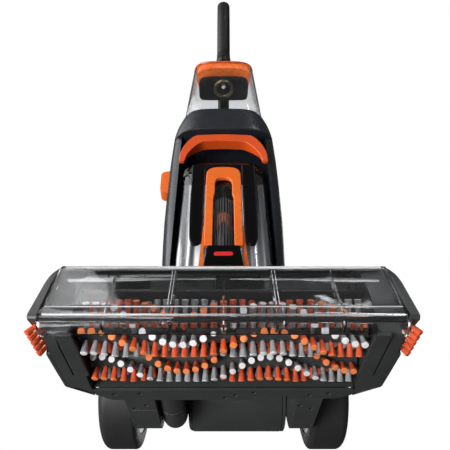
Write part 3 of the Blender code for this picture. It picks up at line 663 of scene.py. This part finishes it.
def make_edge_brush(side, name):
    """Five stiff tufts that lean out of the side cover's lower front edge."""
    noise = random.Random(5)
    shells = []
    for i in range(5):
        y = -35.0 + 8.8 * i
        root = Vector((side * 152.8, y + 1.0, 9.6))
        tip = Vector((side * 158.6, y, 0.9))
        path = [root.lerp(tip, t) for t in (0, 0.35, 0.7, 0.97, 1.0)]
        shells.append(loft(sweep(path, [2.1, 2.3, 2.5, 2.7, 2.4], 18)))
        for k in range(16):
            a = 2 * math.pi * (k + noise.random()) / 16
            out = Vector((0.83 * math.cos(a) * side, math.sin(a), 0.55 * math.cos(a)))
            end = tip + out * 2.75 + (tip - root).normalized() * noise.uniform(-0.6, 0.3)
            shells.append(loft(sweep([root.lerp(tip, 0.45) + out * 2.25, end], 0.25, 5)))
        socket = [root - (tip - root) * 0.12, root + (tip - root) * 0.1]
        shells.append(loft(sweep(socket, 2.9, 18)))
    # the tufts take the orange bristle's darker side copy, a painted shade
    add_piece("edge_brush_tufts_" + name, merge(shells), "orange_side", "base",
              "edge_brush_" + name, sharp=50)


# ---- brush rolls

ROWS = 6
TUFTS_IN_ROW = 29
FIRST_TUFT_X = -119.7
TUFT_PITCH = 8.55
ROW_STEP = 60            # degrees from one row to the next round the roll
ROW_START = 16.5
WAVE_DEGREES = 47.5      # how far the rows weave to and fro, and over what length
WAVE_LENGTH = 156
WAVE_X = 41
# distance from the roll's axis, and the tuft's radius there
TUFT_STATIONS = ((10.5, 1.8), (12.0, 2.0), (17.0, 2.45), (21.5, 2.9), (23.3, 3.15), (23.7, 2.9))


def row_angle(row, x):
    """Angle of a bristle row round its roll at x."""
    wave = math.cos(2 * math.pi * (x - WAVE_X) / WAVE_LENGTH)
    return math.radians(ROW_STEP * row + ROW_START - WAVE_DEGREES * wave)


def outwards(angle):
    return Vector((0, math.cos(angle), math.sin(angle)))


def tuft(x, y, angle, noise):
    """One flared tuft: a bundle core, with loose filaments round it. Slot 0 sides (painted shade),
    slot 1 tip.
    """
    out = outwards(angle)
    along = Vector((1, 0, 0))
    across = out.cross(along)
    root = Vector((x, y, ROLL_Z))
    rings = []
    for radius, size in TUFT_STATIONS:
        ring = []
        for a in angles(14):
            wobble = size * (1 + 0.05 * noise.uniform(-1, 1))
            ring.append(root + out * radius + (along * math.cos(a) + across * math.sin(a)) * wobble)
        rings.append(ring)
    shells = [loft(rings, slots=[0, 0, 0, 0, 1])]
    for k in range(10):
        a = 2 * math.pi * (k + noise.random()) / 10
        lean = along * math.cos(a) + across * math.sin(a)
        start = root + out * 17 + lean * 2.35
        end = root + out * noise.uniform(22.8, 23.9) + lean * noise.uniform(2.9, 3.3)
        shells.append(loft(sweep([start, end], 0.22, 4), slots=[0]))
    return shells


def make_roll(name, y, body, orange_row):
    """Brush roll with wavy rows: every second row is orange, from row orange_row on."""
    noise = random.Random(len(name))
    tufts = {"orange": [], "white": []}
    sockets = []
    for row in range(ROWS):
        for i in range(TUFTS_IN_ROW):
            x = FIRST_TUFT_X + TUFT_PITCH * i
            angle = row_angle(row, x)
            colour = "orange" if row % 2 == orange_row else "white"
            tufts[colour].extend(tuft(x, y, angle, noise))
            centre = Vector((x, y, ROLL_Z))
            out = outwards(angle)
            sockets.append(loft(sweep([centre + out * 10.6, centre + out * 11.9], [3.2, 2.8], 12)))
    core = [(-136.5, 4), (-126.6, 4), (-126.5, 10.4), (-125.5, 11.5), (125.5, 11.5), (126.5, 10.4),
            (126.6, 4), (136.3, 4), (136.4, 10.6), (137.0, 11.6), (137.6, 11.6), (138.0, 10.6),
            (143.4, 10.6), (143.8, 11.6), (144.6, 11.6), (144.8, 10.6)]
    add_piece(name + "_roll_core", turn_x(core, y, ROLL_Z, 48), "grey", body, name + "_brush_roll")
    add_piece(name + "_roll_sockets", merge(sockets), "grey", body)
    for colour, shells in tufts.items():
        # sides and loose filaments take the darker copy of the bristle colour, a painted shade
        add_piece(f"{name}_roll_{colour}", merge(shells), [colour + "_side", colour + "_tip"], body,
                  sharp=50)


# ---- arms, pedal, duct and wheels

ARM_SCREWS = ((80, 121), (92.5, 129), (97, 178))
DUCT_X = -56.2


def make_arms():
    boss = arc(AXLE_Y, AXLE_Z, 22, -60, 120, 16)
    start = FOOT_REAR + 0.3
    outline = [(start, 4), (190, 4), (203, 11), (215, 27), *boss, (190, 92), (150, 72), (start, 60)]
    radii = [1.5, 12, 12, 12] + [0] * len(boss) + [14, 20, 2]
    for (side, name), inner in zip(SIDES, (70.0, 75.5)):
        mesh = prism_x(rounded(outline, radii, 5), *span(side, inner, 101.0))
        arm = add_piece("axle_arm_moulded_" + name, mesh, "charcoal", "base", "axle_arm_" + name,
                        bevel=1.2)
        groove = block(*span(side, inner + 2.5, 98.0), FOOT_REAR + 30, FOOT_REAR + 31, 2, 5.5)
        boolean(arm, groove)
        boolean(arm, rod_x(*span(side, 60.0, 104.0), AXLE_HOLE, AXLE_Y, AXLE_Z))
        wells = [turn_z([(2, 2.4), (9, 2.4)], side * x, y, 24) for x, y in ARM_SCREWS]
        boolean(arm, merge(wells))
        for number, (x, y) in enumerate(ARM_SCREWS):
            make_screw(f"arm_screw_{name}_{number}", side * x, y, 6.0)


def make_pedal():
    tread = [(107, 88), (108, 82), (112, 80), (118, 82), (150, 96), (151, 100), (146, 101),
             (112, 90)]
    add_piece("recline_pedal_moulded", prism_x(rounded(tread, 2.0, 4), -104, -76), "orange",
              "recline_pedal", "recline_pedal", bevel=1.0)
    ribs = []
    for k in range(5):
        y = 122 + 5.2 * k
        z = 93.3 + (y - 112) * 0.323
        ribs.append(block(-101, -79, y, y + 1.4, z - 1.5, z + 1.0))
    add_piece("recline_pedal_ribs", merge(ribs), "orange", "recline_pedal", bevel=0.4, segments=2)


def make_duct():
    x = DUCT_X
    points = [(x, FOOT_REAR + 0.3, 19), (x, 150, 19), (x, 190, 20), (x, 216, 32), (x, 232, 54),
              (x + 1, AXLE_Y, AXLE_Z - 10), (x + 5, AXLE_Y, AXLE_Z - 2), (x + 12, AXLE_Y, AXLE_Z),
              (-34.5, AXLE_Y, AXLE_Z)]
    path = smooth_path([Vector(p) for p in points], 10)
    pipe = sweep(path, 13.4, 48) + list(reversed(sweep(path, 11.4, 48)))
    add_piece("suction_duct_pipe", loft(pipe, closed=True), "charcoal", "base", "suction_duct")
    collars = []
    for start, length in ((FOOT_REAR + 0.6, 6.0), (150, 2.0)):
        line = [Vector((x, start + length * k / 3, 19)) for k in range(4)]
        collars.append(loft(sweep(line, 14.1, 48)))
    add_piece("suction_duct_collars", merge(collars), "charcoal", "base", bevel=0.5, segments=2)


def make_tyre(side, name):
    tyre = rounded([(105, 78), (141, 78), (146.5, 72), (146.5, 60), (102.5, 60), (102.5, 71)],
                   [10, 12, 8, 1, 1, 8], 7)
    mesh = turn_x(on(side, tyre), AXLE_Y, AXLE_Z, 128, closed=True)
    add_piece("tyre_moulded_" + name, mesh, "tyre", "wheel_" + name, "tyre_" + name)


def make_hub(side, name):
    profile = rounded([(101.6, 12), (102, 15), (106, 17), (109, 50), (104, 55), (103.6, 59.7),
                       (144.5, 59.7), (145, 57), (140, 52), (137, 30), (142, 27), (146, 22),
                       (146.4, 6)], [1, 1, 3, 6, 2, 1, 1, 1.5, 6, 5, 5, 5, 0], 4)
    hub = add_piece("hub_moulded_" + name, turn_x(on(side, profile), AXLE_Y, AXLE_Z, 96), "satin",
                    "wheel_" + name, "hub_" + name, bevel=0.5)
    boolean(hub, rod_x(*span(side, 95, 143), AXLE_HOLE, AXLE_Y, AXLE_Z))


def make_spokes(side, name):
    spokes = []
    for angle in angles(6):
        out = outwards(angle)
        flat = Vector((0, -math.sin(angle), math.cos(angle)))
        rings = []
        for radius, width, x in ((24, 6.5, 143.0), (40, 5.0, 141.5), (57.5, 4.5, 144.0)):
            centre = Vector((0, AXLE_Y, AXLE_Z)) + out * radius
            section = ((-width, 132), (width, 132), (width, x - 1), (width - 1, x),
                       (-width + 1, x), (-width, x - 1))
            rings.append([centre + flat * across + Vector((side * depth, 0, 0))
                          for across, depth in section])
        spokes.append(loft(rings))
    add_piece("hub_spokes_" + name, merge(spokes), "grey", "wheel_" + name, bevel=0.8)


# ---- casing, barrel and collar

SPLIT = 76.5             # where the front frame meets the rear shell, behind the front surface
GAP = 0.15               # half the seam between them
POLE_DEPTH = 91          # the pole's axis, behind the front surface
CASING_STATIONS = ((150, 79, 27), (151.5, 80, 26), (185, 84.5, 18), (212, 86, 16), (255, 88, 15),
                   (300, 89.5, 14), (370, 90, 14), (440, 89.5, 14), (490.5, 88, 14),
                   (492, 87.2, 14.8))


def rear_line(z):
    """Y of the upright's rear surface at height z."""
    return 296.0 - 0.06 * (z - 150.0)


def casing():
    """The whole casing: height, half width and set-back of its front at each station."""
    return loft([oval(half, front(z) + back, rear_line(z), z, 6.0, 96)
                 for z, half, back in CASING_STATIONS])


def make_front_frame():
    piece = add_piece("front_frame_moulded", casing(), "casing", "upright", "front_frame",
                      bevel=0.8)
    rear_cut = [(front(z) + SPLIT - GAP, z) for z in (100, 600)] + [(400, 600), (400, 100)]
    boolean(piece, prism_x(rear_cut, -200, 200))
    pocket = [(front(z) + depth, z) for depth, z in ((-60, 164), (-60, 600), (SPLIT + 1, 600),
                                                     (SPLIT + 1, 164))]
    boolean(piece, prism_x(pocket, -72, 72))
    boolean(piece, block(-96, -77, 188.5, 213.5, 380, 436))
    groove = ((72, 473.5), (90, 477.5), (90, 478.4), (72, 474.4))
    boolean(piece, merge([leaning_plate(on(side, groove), -5, 40) for side, _ in SIDES]))


def make_rear_shell():
    shell = add_piece("rear_shell_moulded", casing(), "casing", "upright", "rear_shell", bevel=0.8)
    front_cut = [(front(z) + SPLIT + GAP, z) for z in (600, 100)] + [(0, 100), (0, 600)]
    boolean(shell, prism_x(front_cut, -200, 200))
    hollow = [oval(half, front(z) + SPLIT + 3.5, rear_line(z) - 3.2, z, 6.0, 96)
              for z, half in ((153, 76), (185, 80.5), (212, 82.5), (300, 86), (512, 84.5))]
    boolean(shell, loft(hollow))
    tools = [block(-11, 11, 265, 290, 456, 484)]
    for row in range(9):
        z = 178 + row * 7
        tools += [block(x - 13, x + 13, 280, 310, z, z + 3) for x in (-33, 0, 33)]
    boolean(shell, merge(tools))


def make_hose_clip():
    clip = rounded([(84, 382), (94, 384), (95.5, 400), (94.5, 430), (84, 434)], 2, 4)
    add_piece("hose_clip", prism_y(clip, 222, 246), "black", "upright", bevel=1.5)


def make_rear_panel():
    outline = rounded([(-46, 262), (46, 262), (50, 300), (50, 420), (44, 440), (-44, 440),
                       (-50, 420), (-50, 300)], 8, 4)
    panel = loft([[Vector((x, rear_line(z) + depth, z)) for x, z in outline]
                  for depth in (-1, 0.9)])
    add_piece("rear_panel", panel, "charcoal", "upright", bevel=0.8)


def make_barrel():
    """Horizontal motor barrel on the wheels' axis, with its two caps."""
    shapes = {
        "motor_barrel": (128, rounded([(-38, 56.7), (-37, 57.5), (70, 57.5), (71, 56.7),
                                       (71, 53.5), (-38, 53.5)], 0.4, 2)),
        "barrel_cap_left": (96, rounded([(-38.3, 57.2), (-42.5, 55), (-42.5, 15.2), (-38.3, 15.2)],
                                        [1, 3.8, 0, 0], 5)),
        "barrel_cap_right": (96, rounded([(71.3, 57.3), (75.1, 57.3), (75.1, 5.5), (71.3, 5.5)],
                                         [0.5, 1.4, 0, 0], 5)),
    }
    for node, (count, profile) in shapes.items():
        mesh = turn_x(profile, AXLE_Y, AXLE_Z, count, closed=True)
        add_piece(node + "_moulded", mesh, "charcoal", "upright", node)


def make_lower_housing():
    neck = rounded([(154, 149.7), (150, 130), (176, 118), (200, 100), (284, 88), (292, 110),
                    (292, 149.7)], [0, 8, 12, 12, 8, 8, 0], 5)
    lower = add_piece("lower_housing_moulded", prism_x(neck, -64, 64), "casing", "upright",
                      "lower_housing", bevel=2.5, segments=4)
    boolean(lower, rod_x(-70, 70, 57.8, AXLE_Y, AXLE_Z, 96))


def make_collar():
    stations = ((492.3, 87.2, 0.8), (493.5, 88, 0), (502, 87.6, 0), (512, 86.3, 0), (523, 84, 0),
                (534, 80.8, 0), (545, 76.8, 0), (553.5, 73.4, 0), (555.6, 72.2, 0.5),
                (556, 70.8, 1.9))
    rings = []
    for z, half, inset in stations:
        taper = max(0.0, (z - 512) * 0.35)
        rings.append(oval(half, front(z) + 1 + inset, 275.5 - taper - inset, z, 4.0, 120))
    collar = add_piece("collar_moulded", loft(rings), "casing", "upright", "collar")
    seat = [oval(71.4, front(z) + 2.6, front(z) + 73, z, 4.0, 120) for z in (547.7, 561)]
    boolean(collar, loft(seat))
    boolean(collar, turn_lean([(520, 11.8), (600, 11.8)], POLE_DEPTH))


# ---- handle and small controls

GRIP_BOTTOM = 905
GRIP_HALF_WIDTH = 15.5
GRIP_HALF_DEPTH = 12.4


def make_pole():
    low = [(520.3, 11.5), (727, 11.5), (729, 12), (732, 15), (734, 15.6), (740, 15.6), (742, 15)]
    add_piece("lower_pole_turned", turn_lean(low, POLE_DEPTH, 48), "black", "upright", "lower_pole")
    tube = [(742.3, 15.4), (743, 16), (903, 16), (904.8, 15.4)]
    add_piece("handle_tube_turned", turn_lean(tube, POLE_DEPTH, 64), "black", "upright",
              "handle_tube")
    band = [(880, 16.2), (881, 16.9), (903, 16.9), (904.5, 16.2)]
    add_piece("handle_tube_band", turn_lean(band, POLE_DEPTH, 64), "satin", "upright")


def grip_rings(path):
    """Oval rings square to the closed path of the grip loop."""
    rings = []
    for i, point in enumerate(path):
        ahead = (path[(i + 1) % len(path)] - path[i - 1]).normalized()
        out = ahead.cross(Vector((1, 0, 0)))
        rings.append([point + Vector((GRIP_HALF_WIDTH * math.cos(a), 0, 0))
                      + out * GRIP_HALF_DEPTH * math.sin(a) for a in angles(28)])
    return rings


def make_grip():
    y = front(GRIP_BOTTOM) + POLE_DEPTH
    loop = [(0, 929), (-18, 960), (-38, 1012), (-46, 1066), (-38, 1096), (-16, 1108.5), (8, 1100),
            (15, 1058), (13, 1000), (9, 955)]
    path = closed_curve([Vector((0, y + dy, z)) for dy, z in loop], 8)
    add_piece("handle_grip_moulded", loft(grip_rings(path), closed=True), "rubber", "upright",
              "handle_grip")
    stem = turn_lean([(905.3, 15), (906.3, 16), (925, 16), (935, 14.5), (940, 10)], POLE_DEPTH, 56)
    add_piece("handle_grip_stem", stem, "rubber", "upright")
    finger = rounded([(-14, 996), (-7, 995), (-10, 1010), (-15, 1026), (-20, 1040), (-25, 1038),
                      (-22, 1020), (-17, 1006)], 2.0, 4)
    add_piece("spray_trigger_moulded", prism_x([(y + dy, z) for dy, z in finger], -7, 7), "orange",
              "spray_trigger", "spray_trigger", bevel=1.2)


def make_cord_hook():
    y = front(860) + POLE_DEPTH + 16
    stem = rounded([(y + 1.2, 851), (y + 34, 851), (y + 40, 857), (y + 40, 899), (y + 35, 899),
                    (y + 33, 869), (y + 1.2, 869)], [0.5, 6, 8, 2, 2, 8, 0.5], 5)
    add_piece("cord_hook_moulded", prism_x(stem, -6, 6), "satin", "cord_hook", "cord_hook",
              bevel=1.6)


def make_side_latch():
    latch = rounded([(-104, 389), (-105, 430), (-92, 434), (-82, 434), (-82, 382), (-98, 384)],
                    [5, 6, 3, 1, 1, 4], 5)
    add_piece("side_latch_moulded", prism_y(latch, 190, 212), "orange", "side_latch", "side_latch",
              bevel=2.0, segments=4)


def make_power_switch():
    rocker = rounded([(273.5, 462), (278, 458.5), (282.5, 460), (279.5, 470), (281.5, 480),
                      (278, 481.5), (273.5, 478)], 1.2, 4)
    add_piece("power_switch_moulded", prism_x(rocker, -10, 10), "black", "power_switch",
              "power_switch", bevel=0.6)
    bezel = add_piece("power_switch_bezel", block(-14, 14, 275.4, 278.2, 453, 487), "satin",
                      "upright", bevel=0.8)
    boolean(bezel, block(-10.8, 10.8, 270, 285, 456.6, 483.4))


def make_cord_inlet():
    z = 300
    profile = ((1, 8.6), (1.6, 9.4), (5.4, 9.4), (6, 8.6), (8, 6), (11, 6.4), (11.2, 5.2),
               (14, 5.6), (14.2, 4.8), (17, 5.2), (17.2, 4.4), (20, 4.8))
    rings = [circle_y(0, rear_line(z) + depth, z, radius, 40) for depth, radius in profile]
    add_piece("cord_inlet_moulded", loft(rings), "satin", "upright", "cord_inlet")


# ---- dirty water tank

TANK_DEPTH = 74.5        # the dirty tank's back, behind the front surface
FLOAT_Y = front(384) + 42
CAGE_DEPTH = 15


def tank_cup(bottom, top, half_low, half_high, far, near, wall, power):
    """Open-topped tank with an even wall that follows the upright's lean."""
    def ring(z, inset):
        part = (z - bottom) / (top - bottom)
        half = half_low + (half_high - half_low) * part
        return oval(half - inset, front(z) + near + inset, front(z) + far - inset, z, power, 112)

    outside = [(bottom, 5), (bottom + 1.5, 2), (bottom + 4, 0.5), (bottom + 7, 0)]
    inside = [(bottom + 9, wall), (bottom + 6, wall + 0.7), (bottom + 4, wall + 2.2),
              (bottom + 2.6, wall + 5)]
    heights = [bottom + 7 + (top - bottom - 7) * k / 10 for k in range(1, 11)]
    rings = [ring(z, inset) for z, inset in outside]
    rings += [ring(z, 0) for z in heights]
    rings += [ring(z, wall) for z in reversed(heights[1:])]
    rings += [ring(z, inset) for z, inset in inside]
    return loft(rings)


def make_dirty_tank():
    tank = tank_cup(166, 384, 70, 68, TANK_DEPTH, 8.5, 2.5, 3.4)
    add_piece("dirty_tank_clear", tank, "clear_tank", "dirty_tank", "dirty_tank")
    # two sheets inside the tank carry painted reflections: vertical streaks from near black to
    # white
    outline = ((24, 178), (63, 178), (62, 372), (24, 372))
    reflection_sheets = [leaning_plate(on(side, outline), 26, 27.4) for side, _ in SIDES]
    add_piece("dirty_tank_reflection_sheets", merge(reflection_sheets), "streak_up", "dirty_tank", bevel=0.4,
              segments=2)


def make_tank_lid():
    rings = []
    for z, half, near in ((384.3, 68.4, 7.6), (385.4, 69, 7), (396, 68.6, 7.1), (397, 67.6, 8.1),
                          (398, 68, 7.7), (402, 67.5, 8), (410, 64.5, 10.6), (415, 61, 14),
                          (417.4, 57.5, 18), (418, 54, 22)):
        rings.append(oval(half, front(z) + near, front(z) + TANK_DEPTH - (near - 7), z, 3.4, 112))
    add_piece("tank_lid_moulded", loft(rings), "black", "dirty_tank", "tank_lid")
    rod = [(286, 6.4), (287, 7), (291.4, 7), (292, 6.4), (292.1, 3.5), (392, 3.5)]
    add_piece("float_rod", turn_z(rod, 0, FLOAT_Y, 32), "grey", "dirty_tank")


def make_tank_shields():
    shield = rounded([(28, 398), (28, 376), (29.5, 232), (35, 226), (43, 226), (47, 238),
                      (48.5, 280), (49, 376), (49, 398)], [2, 0, 6, 6, 6, 8, 10, 0, 2], 5)
    for side, name in SIDES:
        add_piece("tank_shield_" + name, leaning_plate(on(side, shield), 3.5, 8.2), "black",
                  "dirty_tank", bevel=1.6, segments=4)


def make_trim():
    """U-shaped trim round the float cage, with a flare down each side of the badge."""
    outer = [(26.5, 222), (26.5, 240), (26.5, 370), (24.5, 380), (18, 386), (8, 388)]
    inner = [(-14.8, 222), (-14.8, 320), (-12.8, 326), (-12.8, 350), (-11, 358), (-5, 362)]
    outline = rounded(outer + flipped(outer), [0, 2, 8, 4, 4, 6, 6, 4, 4, 8, 2, 0], 5)
    outline += rounded(inner + flipped(inner), [0, 3, 3, 6, 4, 4, 4, 4, 6, 3, 3, 0], 5)
    add_piece("tank_trim_moulded", leaning_plate(outline, 0, 6.6), "orange", "dirty_tank",
              "tank_trim", bevel=1.3, segments=4)
    flare = ((25.6, 190), (27.1, 232), (27.1, 262), (28.4, 262), (29.4, 235), (33, 186), (30, 186))
    for side, name in SIDES:
        add_piece("trim_flare_" + name, leaning_plate(on(side, flare), 4.5, 7.5), "orange",
                  "dirty_tank", bevel=0.4, segments=2)


def make_float_cage():
    profile = [(222, 12.2), (223, 12.8), (321, 12.8), (322, 11.6), (324, 11.6), (325, 12.8),
               (350, 12.8), (356, 11.4), (358, 10)]
    cage = add_piece("float_cage_core", turn_lean(profile, CAGE_DEPTH, 56), "satin", "dirty_tank",
                     "float_cage")
    boolean(cage, block(-80, 80, front(200) + 7.2, 400, 190, 400))
    ribs = []
    for k in range(9):
        angle = math.radians(198 + 18 * k)
        x = 12.9 * math.cos(angle)
        depth = CAGE_DEPTH + 12.9 * math.sin(angle)
        ribs.append(loft([circle_z(x, front(z) + depth, z, 0.9, 10) for z in (223, 318)]))
    add_piece("float_cage_ribs", merge(ribs), "grey", "dirty_tank")


def make_badge():
    plate = [(26, 185), (21.5, 221.7)]
    outline = rounded(plate + flipped(plate), 2.2, 5)
    add_piece("badge_plate_moulded", leaning_plate(outline, -0.5, 7.4), "black", "dirty_tank",
              "badge_plate", bevel=0.8)
    pill = rounded([(-12.5, 203), (12.5, 203), (12.5, 210), (-12.5, 210)], 3.4, 6)
    add_piece("badge_pill", leaning_plate(pill, -0.9, 0.5), "red", "dirty_tank", bevel=0.3,
              segments=2)


def make_float():
    ring = rounded([(293, 12), (319, 12), (319, 4.3), (293, 4.3)], 2.0, 4)
    add_piece("tank_float_turned", turn_z(ring, 0, FLOAT_Y, 40, closed=True), "orange",
              "tank_float", "tank_float")


def make_tank_handle():
    outer = [(70.5, 404), (70.5, 425), (64, 448), (54, 466), (46, 474), (30, 475), (10, 476.5)]
    inner = [(-62.5, 404), (-58, 424), (-48, 442), (-36, 456), (-10, 458)]
    outer_radii = [1.5, 14, 14, 10, 5, 8, 8]
    inner_radii = [1, 8, 8, 8, 6]
    outline = rounded(outer + flipped(outer) + inner + flipped(inner),
                      outer_radii + outer_radii[::-1] + inner_radii + inner_radii[::-1], 6)
    near = [Vector((x, front(z) + 1, z)) for x, z in outline]
    far = [Vector((x, front(z) + 7 + 13 * min(1, max(0, (z - 412) / 40)), z)) for x, z in outline]
    add_piece("tank_handle_moulded", loft([near, far]), "orange_deep", "tank_handle",
              "tank_handle", bevel=2.2, segments=5)


# ---- clean water tank

VALVE_Y = 192
INSERT_DEPTH = 41
LID_SEAT = 733.3         # below it the lid is the plug inside the tank's mouth


def make_clean_tank():
    tank = tank_cup(548, 733, 71, 60.5, 72, 3, 2.5, 3.6)
    add_piece("clean_tank_clear", tank, "clear_tank", "clean_tank", "clean_tank")


def make_clean_tank_lid():
    rings = []
    for z, inset in ((715, 6.2), (716, 5.2), (731, 5.2), (LID_SEAT, 5.2), (733.4, 0.6), (734.4, 0),
                     (738, 0.6), (739, 2.6)):
        half = 60.5 if z < LID_SEAT else 61.4
        rings.append(oval(half - inset - 0.4, front(z) + 3.4 + inset, front(z) + 71.6 - inset, z,
                          3.6, 112))
    add_piece("clean_tank_lid_moulded", loft(rings), "orange", "clean_tank_lid", "clean_tank_lid")


def make_lid_insert():
    """Black insert under the lid, with the brass-coloured ring and the pin of its valve."""
    rings = []
    for z, half, depth in ((678, 48, 23), (679, 50, 25), (694, 50, 25), (695, 49, 24),
                           (695.4, 33, 14), (696.4, 32, 13), (714.7, 32, 13)):
        middle = front(z) + INSERT_DEPTH
        rings.append(oval(half, middle - depth, middle + depth, z, 5.0, 96))
    insert = add_piece("lid_insert_moulded", loft(rings), "black", "clean_tank_lid", "lid_insert")
    boolean(insert, turn_z([(670, 12.5), (688, 12.5)], 0, VALVE_Y, 40))
    ring = rounded([(672, 19.5), (677.7, 19.5), (677.7, 14), (672, 14)], [1.8, 0.3, 0.3, 1.8], 4)
    add_piece("valve_ring_turned", turn_z(ring, 0, VALVE_Y, 64, closed=True), "brass",
              "clean_tank_lid", "valve_ring")
    pin = turn_z([(680, 3.4), (681, 4.2), (688.5, 4.2)], 0, VALVE_Y, 24)
    add_piece("valve_pin", pin, "frost", "clean_tank_lid")


def finish_cad_nodes():
    """Procedural finishes for the inner CAD nodes that are shown as they are."""
    finishes = {
        "steel": ("bearing_plate_left", "bearing_plate_right", "axle_left", "axle_right",
                  "brush_motor", "motor_pulley", "suction_motor"),
        "grey": ("brush_chamber", "fan_impeller", "spray_bar", "water_heater", "water_pump"),
        "tyre": ("drive_belt",),
    }
    for finish, nodes in finishes.items():
        for node in nodes:
            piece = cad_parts[node]
            piece.data.materials.clear()
            piece.data.materials.append(MAT[finish])


# ---- set

WHITE = (1, 1, 1, 1)
FILL = 0.1                # world light on surfaces in the open
FILL_INSIDE = 3.0         # what matt surfaces behind clear plastic get on top of it
FLOOR_TONE = (0.2, 0.2, 0.2, 1)
FLOOR_GLOW = 0.84
FLOOR_HALF = 8.0

# name, place, target, width, height (all in metres) and power in watts
LIGHTS = (
    ("key_left", (-1.8, -0.5, 0.8), (0, 0, 0.35), 1.5, 2.0, 36),
    ("under_front", (-0.8, -1.0, -0.6), (0, -0.08, 0.03), 0.9, 0.6, 24),
    ("above_left", (-1.15, -0.5, 2.0), (0, -0.1, 0.2), 1.9, 0.9, 8),
    ("forward", (-0.9, -1.9, 1.1), (0, -0.15, 0.1), 1.4, 0.14, 5),
    ("streak_left", (-0.75, -1.0, 1.5), (0, 0, 0.3), 0.16, 1.0, 0.5),
    ("streak_right", (0.6, -1.1, 1.5), (0, 0, 0.3), 0.05, 1.0, 2.5),
    ("behind", (0.3, 1.4, 1.0), (0, 0, 0.5), 1.2, 1.2, 8),
)


def add_light(name, place, target, width, height, power):
    light = bpy.data.lights.new(name, "AREA")
    light.shape = "RECTANGLE"
    light.size = width
    light.size_y = height
    light.energy = power
    lamp = bpy.data.objects.new(name, light)
    bpy.context.scene.collection.objects.link(lamp)
    lamp.location = place
    lamp.rotation_euler = (Vector(target) - Vector(place)).to_track_quat("-Z", "Y").to_euler()


def make_world():
    """Background that is white where it is seen, and only a weak, even fill for other rays.

    This isn't physical. White is kept for rays that have not yet met a matt or glossy surface,
    so clear plastic still shows it. The fill is stronger for matt surfaces behind clear plastic.
    """
    world = bpy.data.worlds.new("studio")
    bpy.context.scene.world = world
    tree = Tree(world)
    tree.tree.nodes.clear()
    path = tree.node("LightPath").outputs
    bounces = tree.math("ADD", path["Diffuse Depth"], path["Glossy Depth"])
    direct = tree.math("LESS_THAN", bounces, 0.5)
    matt = tree.math("LESS_THAN", path["Glossy Depth"], 0.5)
    inside = tree.math("MULTIPLY", path["Is Transmission Ray"], matt)
    level = tree.math("MULTIPLY_ADD", inside, FILL_INSIDE, FILL)
    fill = tree.node("Background", Color=WHITE, Strength=level)
    seen = tree.node("Background", Color=WHITE, Strength=1.0)
    tree.node("OutputWorld", Surface=tree.mix(direct, fill, seen))


def make_floor():
    """Pale floor that only shows from above: from below, and for light, it isn't there."""
    material = bpy.data.materials.new("floor")
    tree = Tree(material)
    tree.tree.nodes.clear()
    front_side = tree.math("SUBTRACT", 1.0, tree.node("NewGeometry").outputs["Backfacing"])
    camera_ray = tree.node("LightPath").outputs["Is Camera Ray"]
    shown = tree.math("MULTIPLY", camera_ray, front_side)
    surface = tree.node("AddShader")
    tree.put(surface.inputs[0], tree.node("BsdfDiffuse", Color=FLOOR_TONE).outputs[0])
    tree.put(surface.inputs[1], tree.node("Emission", Strength=FLOOR_GLOW).outputs[0])
    tree.node("OutputMaterial",
              Surface=tree.mix(shown, tree.node("BsdfTransparent"), surface))
    corners = [(FLOOR_HALF * x, FLOOR_HALF * y, 0)
               for x, y in ((-1, -1), (1, -1), (1, 1), (-1, 1))]
    data = bpy.data.meshes.new("floor")
    data.from_pydata(corners, [], [(0, 1, 2, 3)])
    data.materials.append(material)
    floor = bpy.data.objects.new("floor", data)
    bpy.context.scene.collection.objects.link(floor)


def make_camera():
    """Wide-angle view from low in front, which looks up at the underside."""
    lens = bpy.data.cameras.new("camera")
    lens.lens = 40.8
    lens.sensor_width = 36.0
    lens.shift_x = 0.0033
    lens.clip_start = 0.01
    camera = bpy.data.objects.new("camera", lens)
    bpy.context.scene.collection.objects.link(camera)
    camera.location = (0.0, -0.536, -0.202)
    camera.rotation_euler = (math.radians(131), 0, 0)
    bpy.context.scene.camera = camera


make_nozzle()
make_nozzle_inside()
make_ridge_edges()
make_top_cover()
make_bottom_plate()
for side, name in SIDES:
    make_end_housing(side, name)
    make_side_cover(side, name)
    make_edge_brush(side, name)
    make_tyre(side, name)
    make_hub(side, name)
    make_spokes(side, name)
make_roll("front", 0.0, "front_roll", 0)
make_roll("rear", ROLL_SPACING, "rear_roll", 1)
make_arms()
make_pedal()
make_duct()
make_front_frame()
make_rear_shell()
make_hose_clip()
make_rear_panel()
make_barrel()
make_lower_housing()
make_collar()
make_pole()
make_grip()
make_cord_hook()
make_side_latch()
make_power_switch()
make_cord_inlet()
make_dirty_tank()
make_tank_lid()
make_tank_shields()
make_trim()
make_float_cage()
make_badge()
make_float()
make_tank_handle()
make_clean_tank()
make_clean_tank_lid()
make_lid_insert()
finish_cad_nodes()
make_world()
make_floor()
make_camera()
for light in LIGHTS:
    add_light(*light)
bpy.context.scene.view_settings.view_transform = "Standard"
bpy.context.scene.view_settings.look = "None"
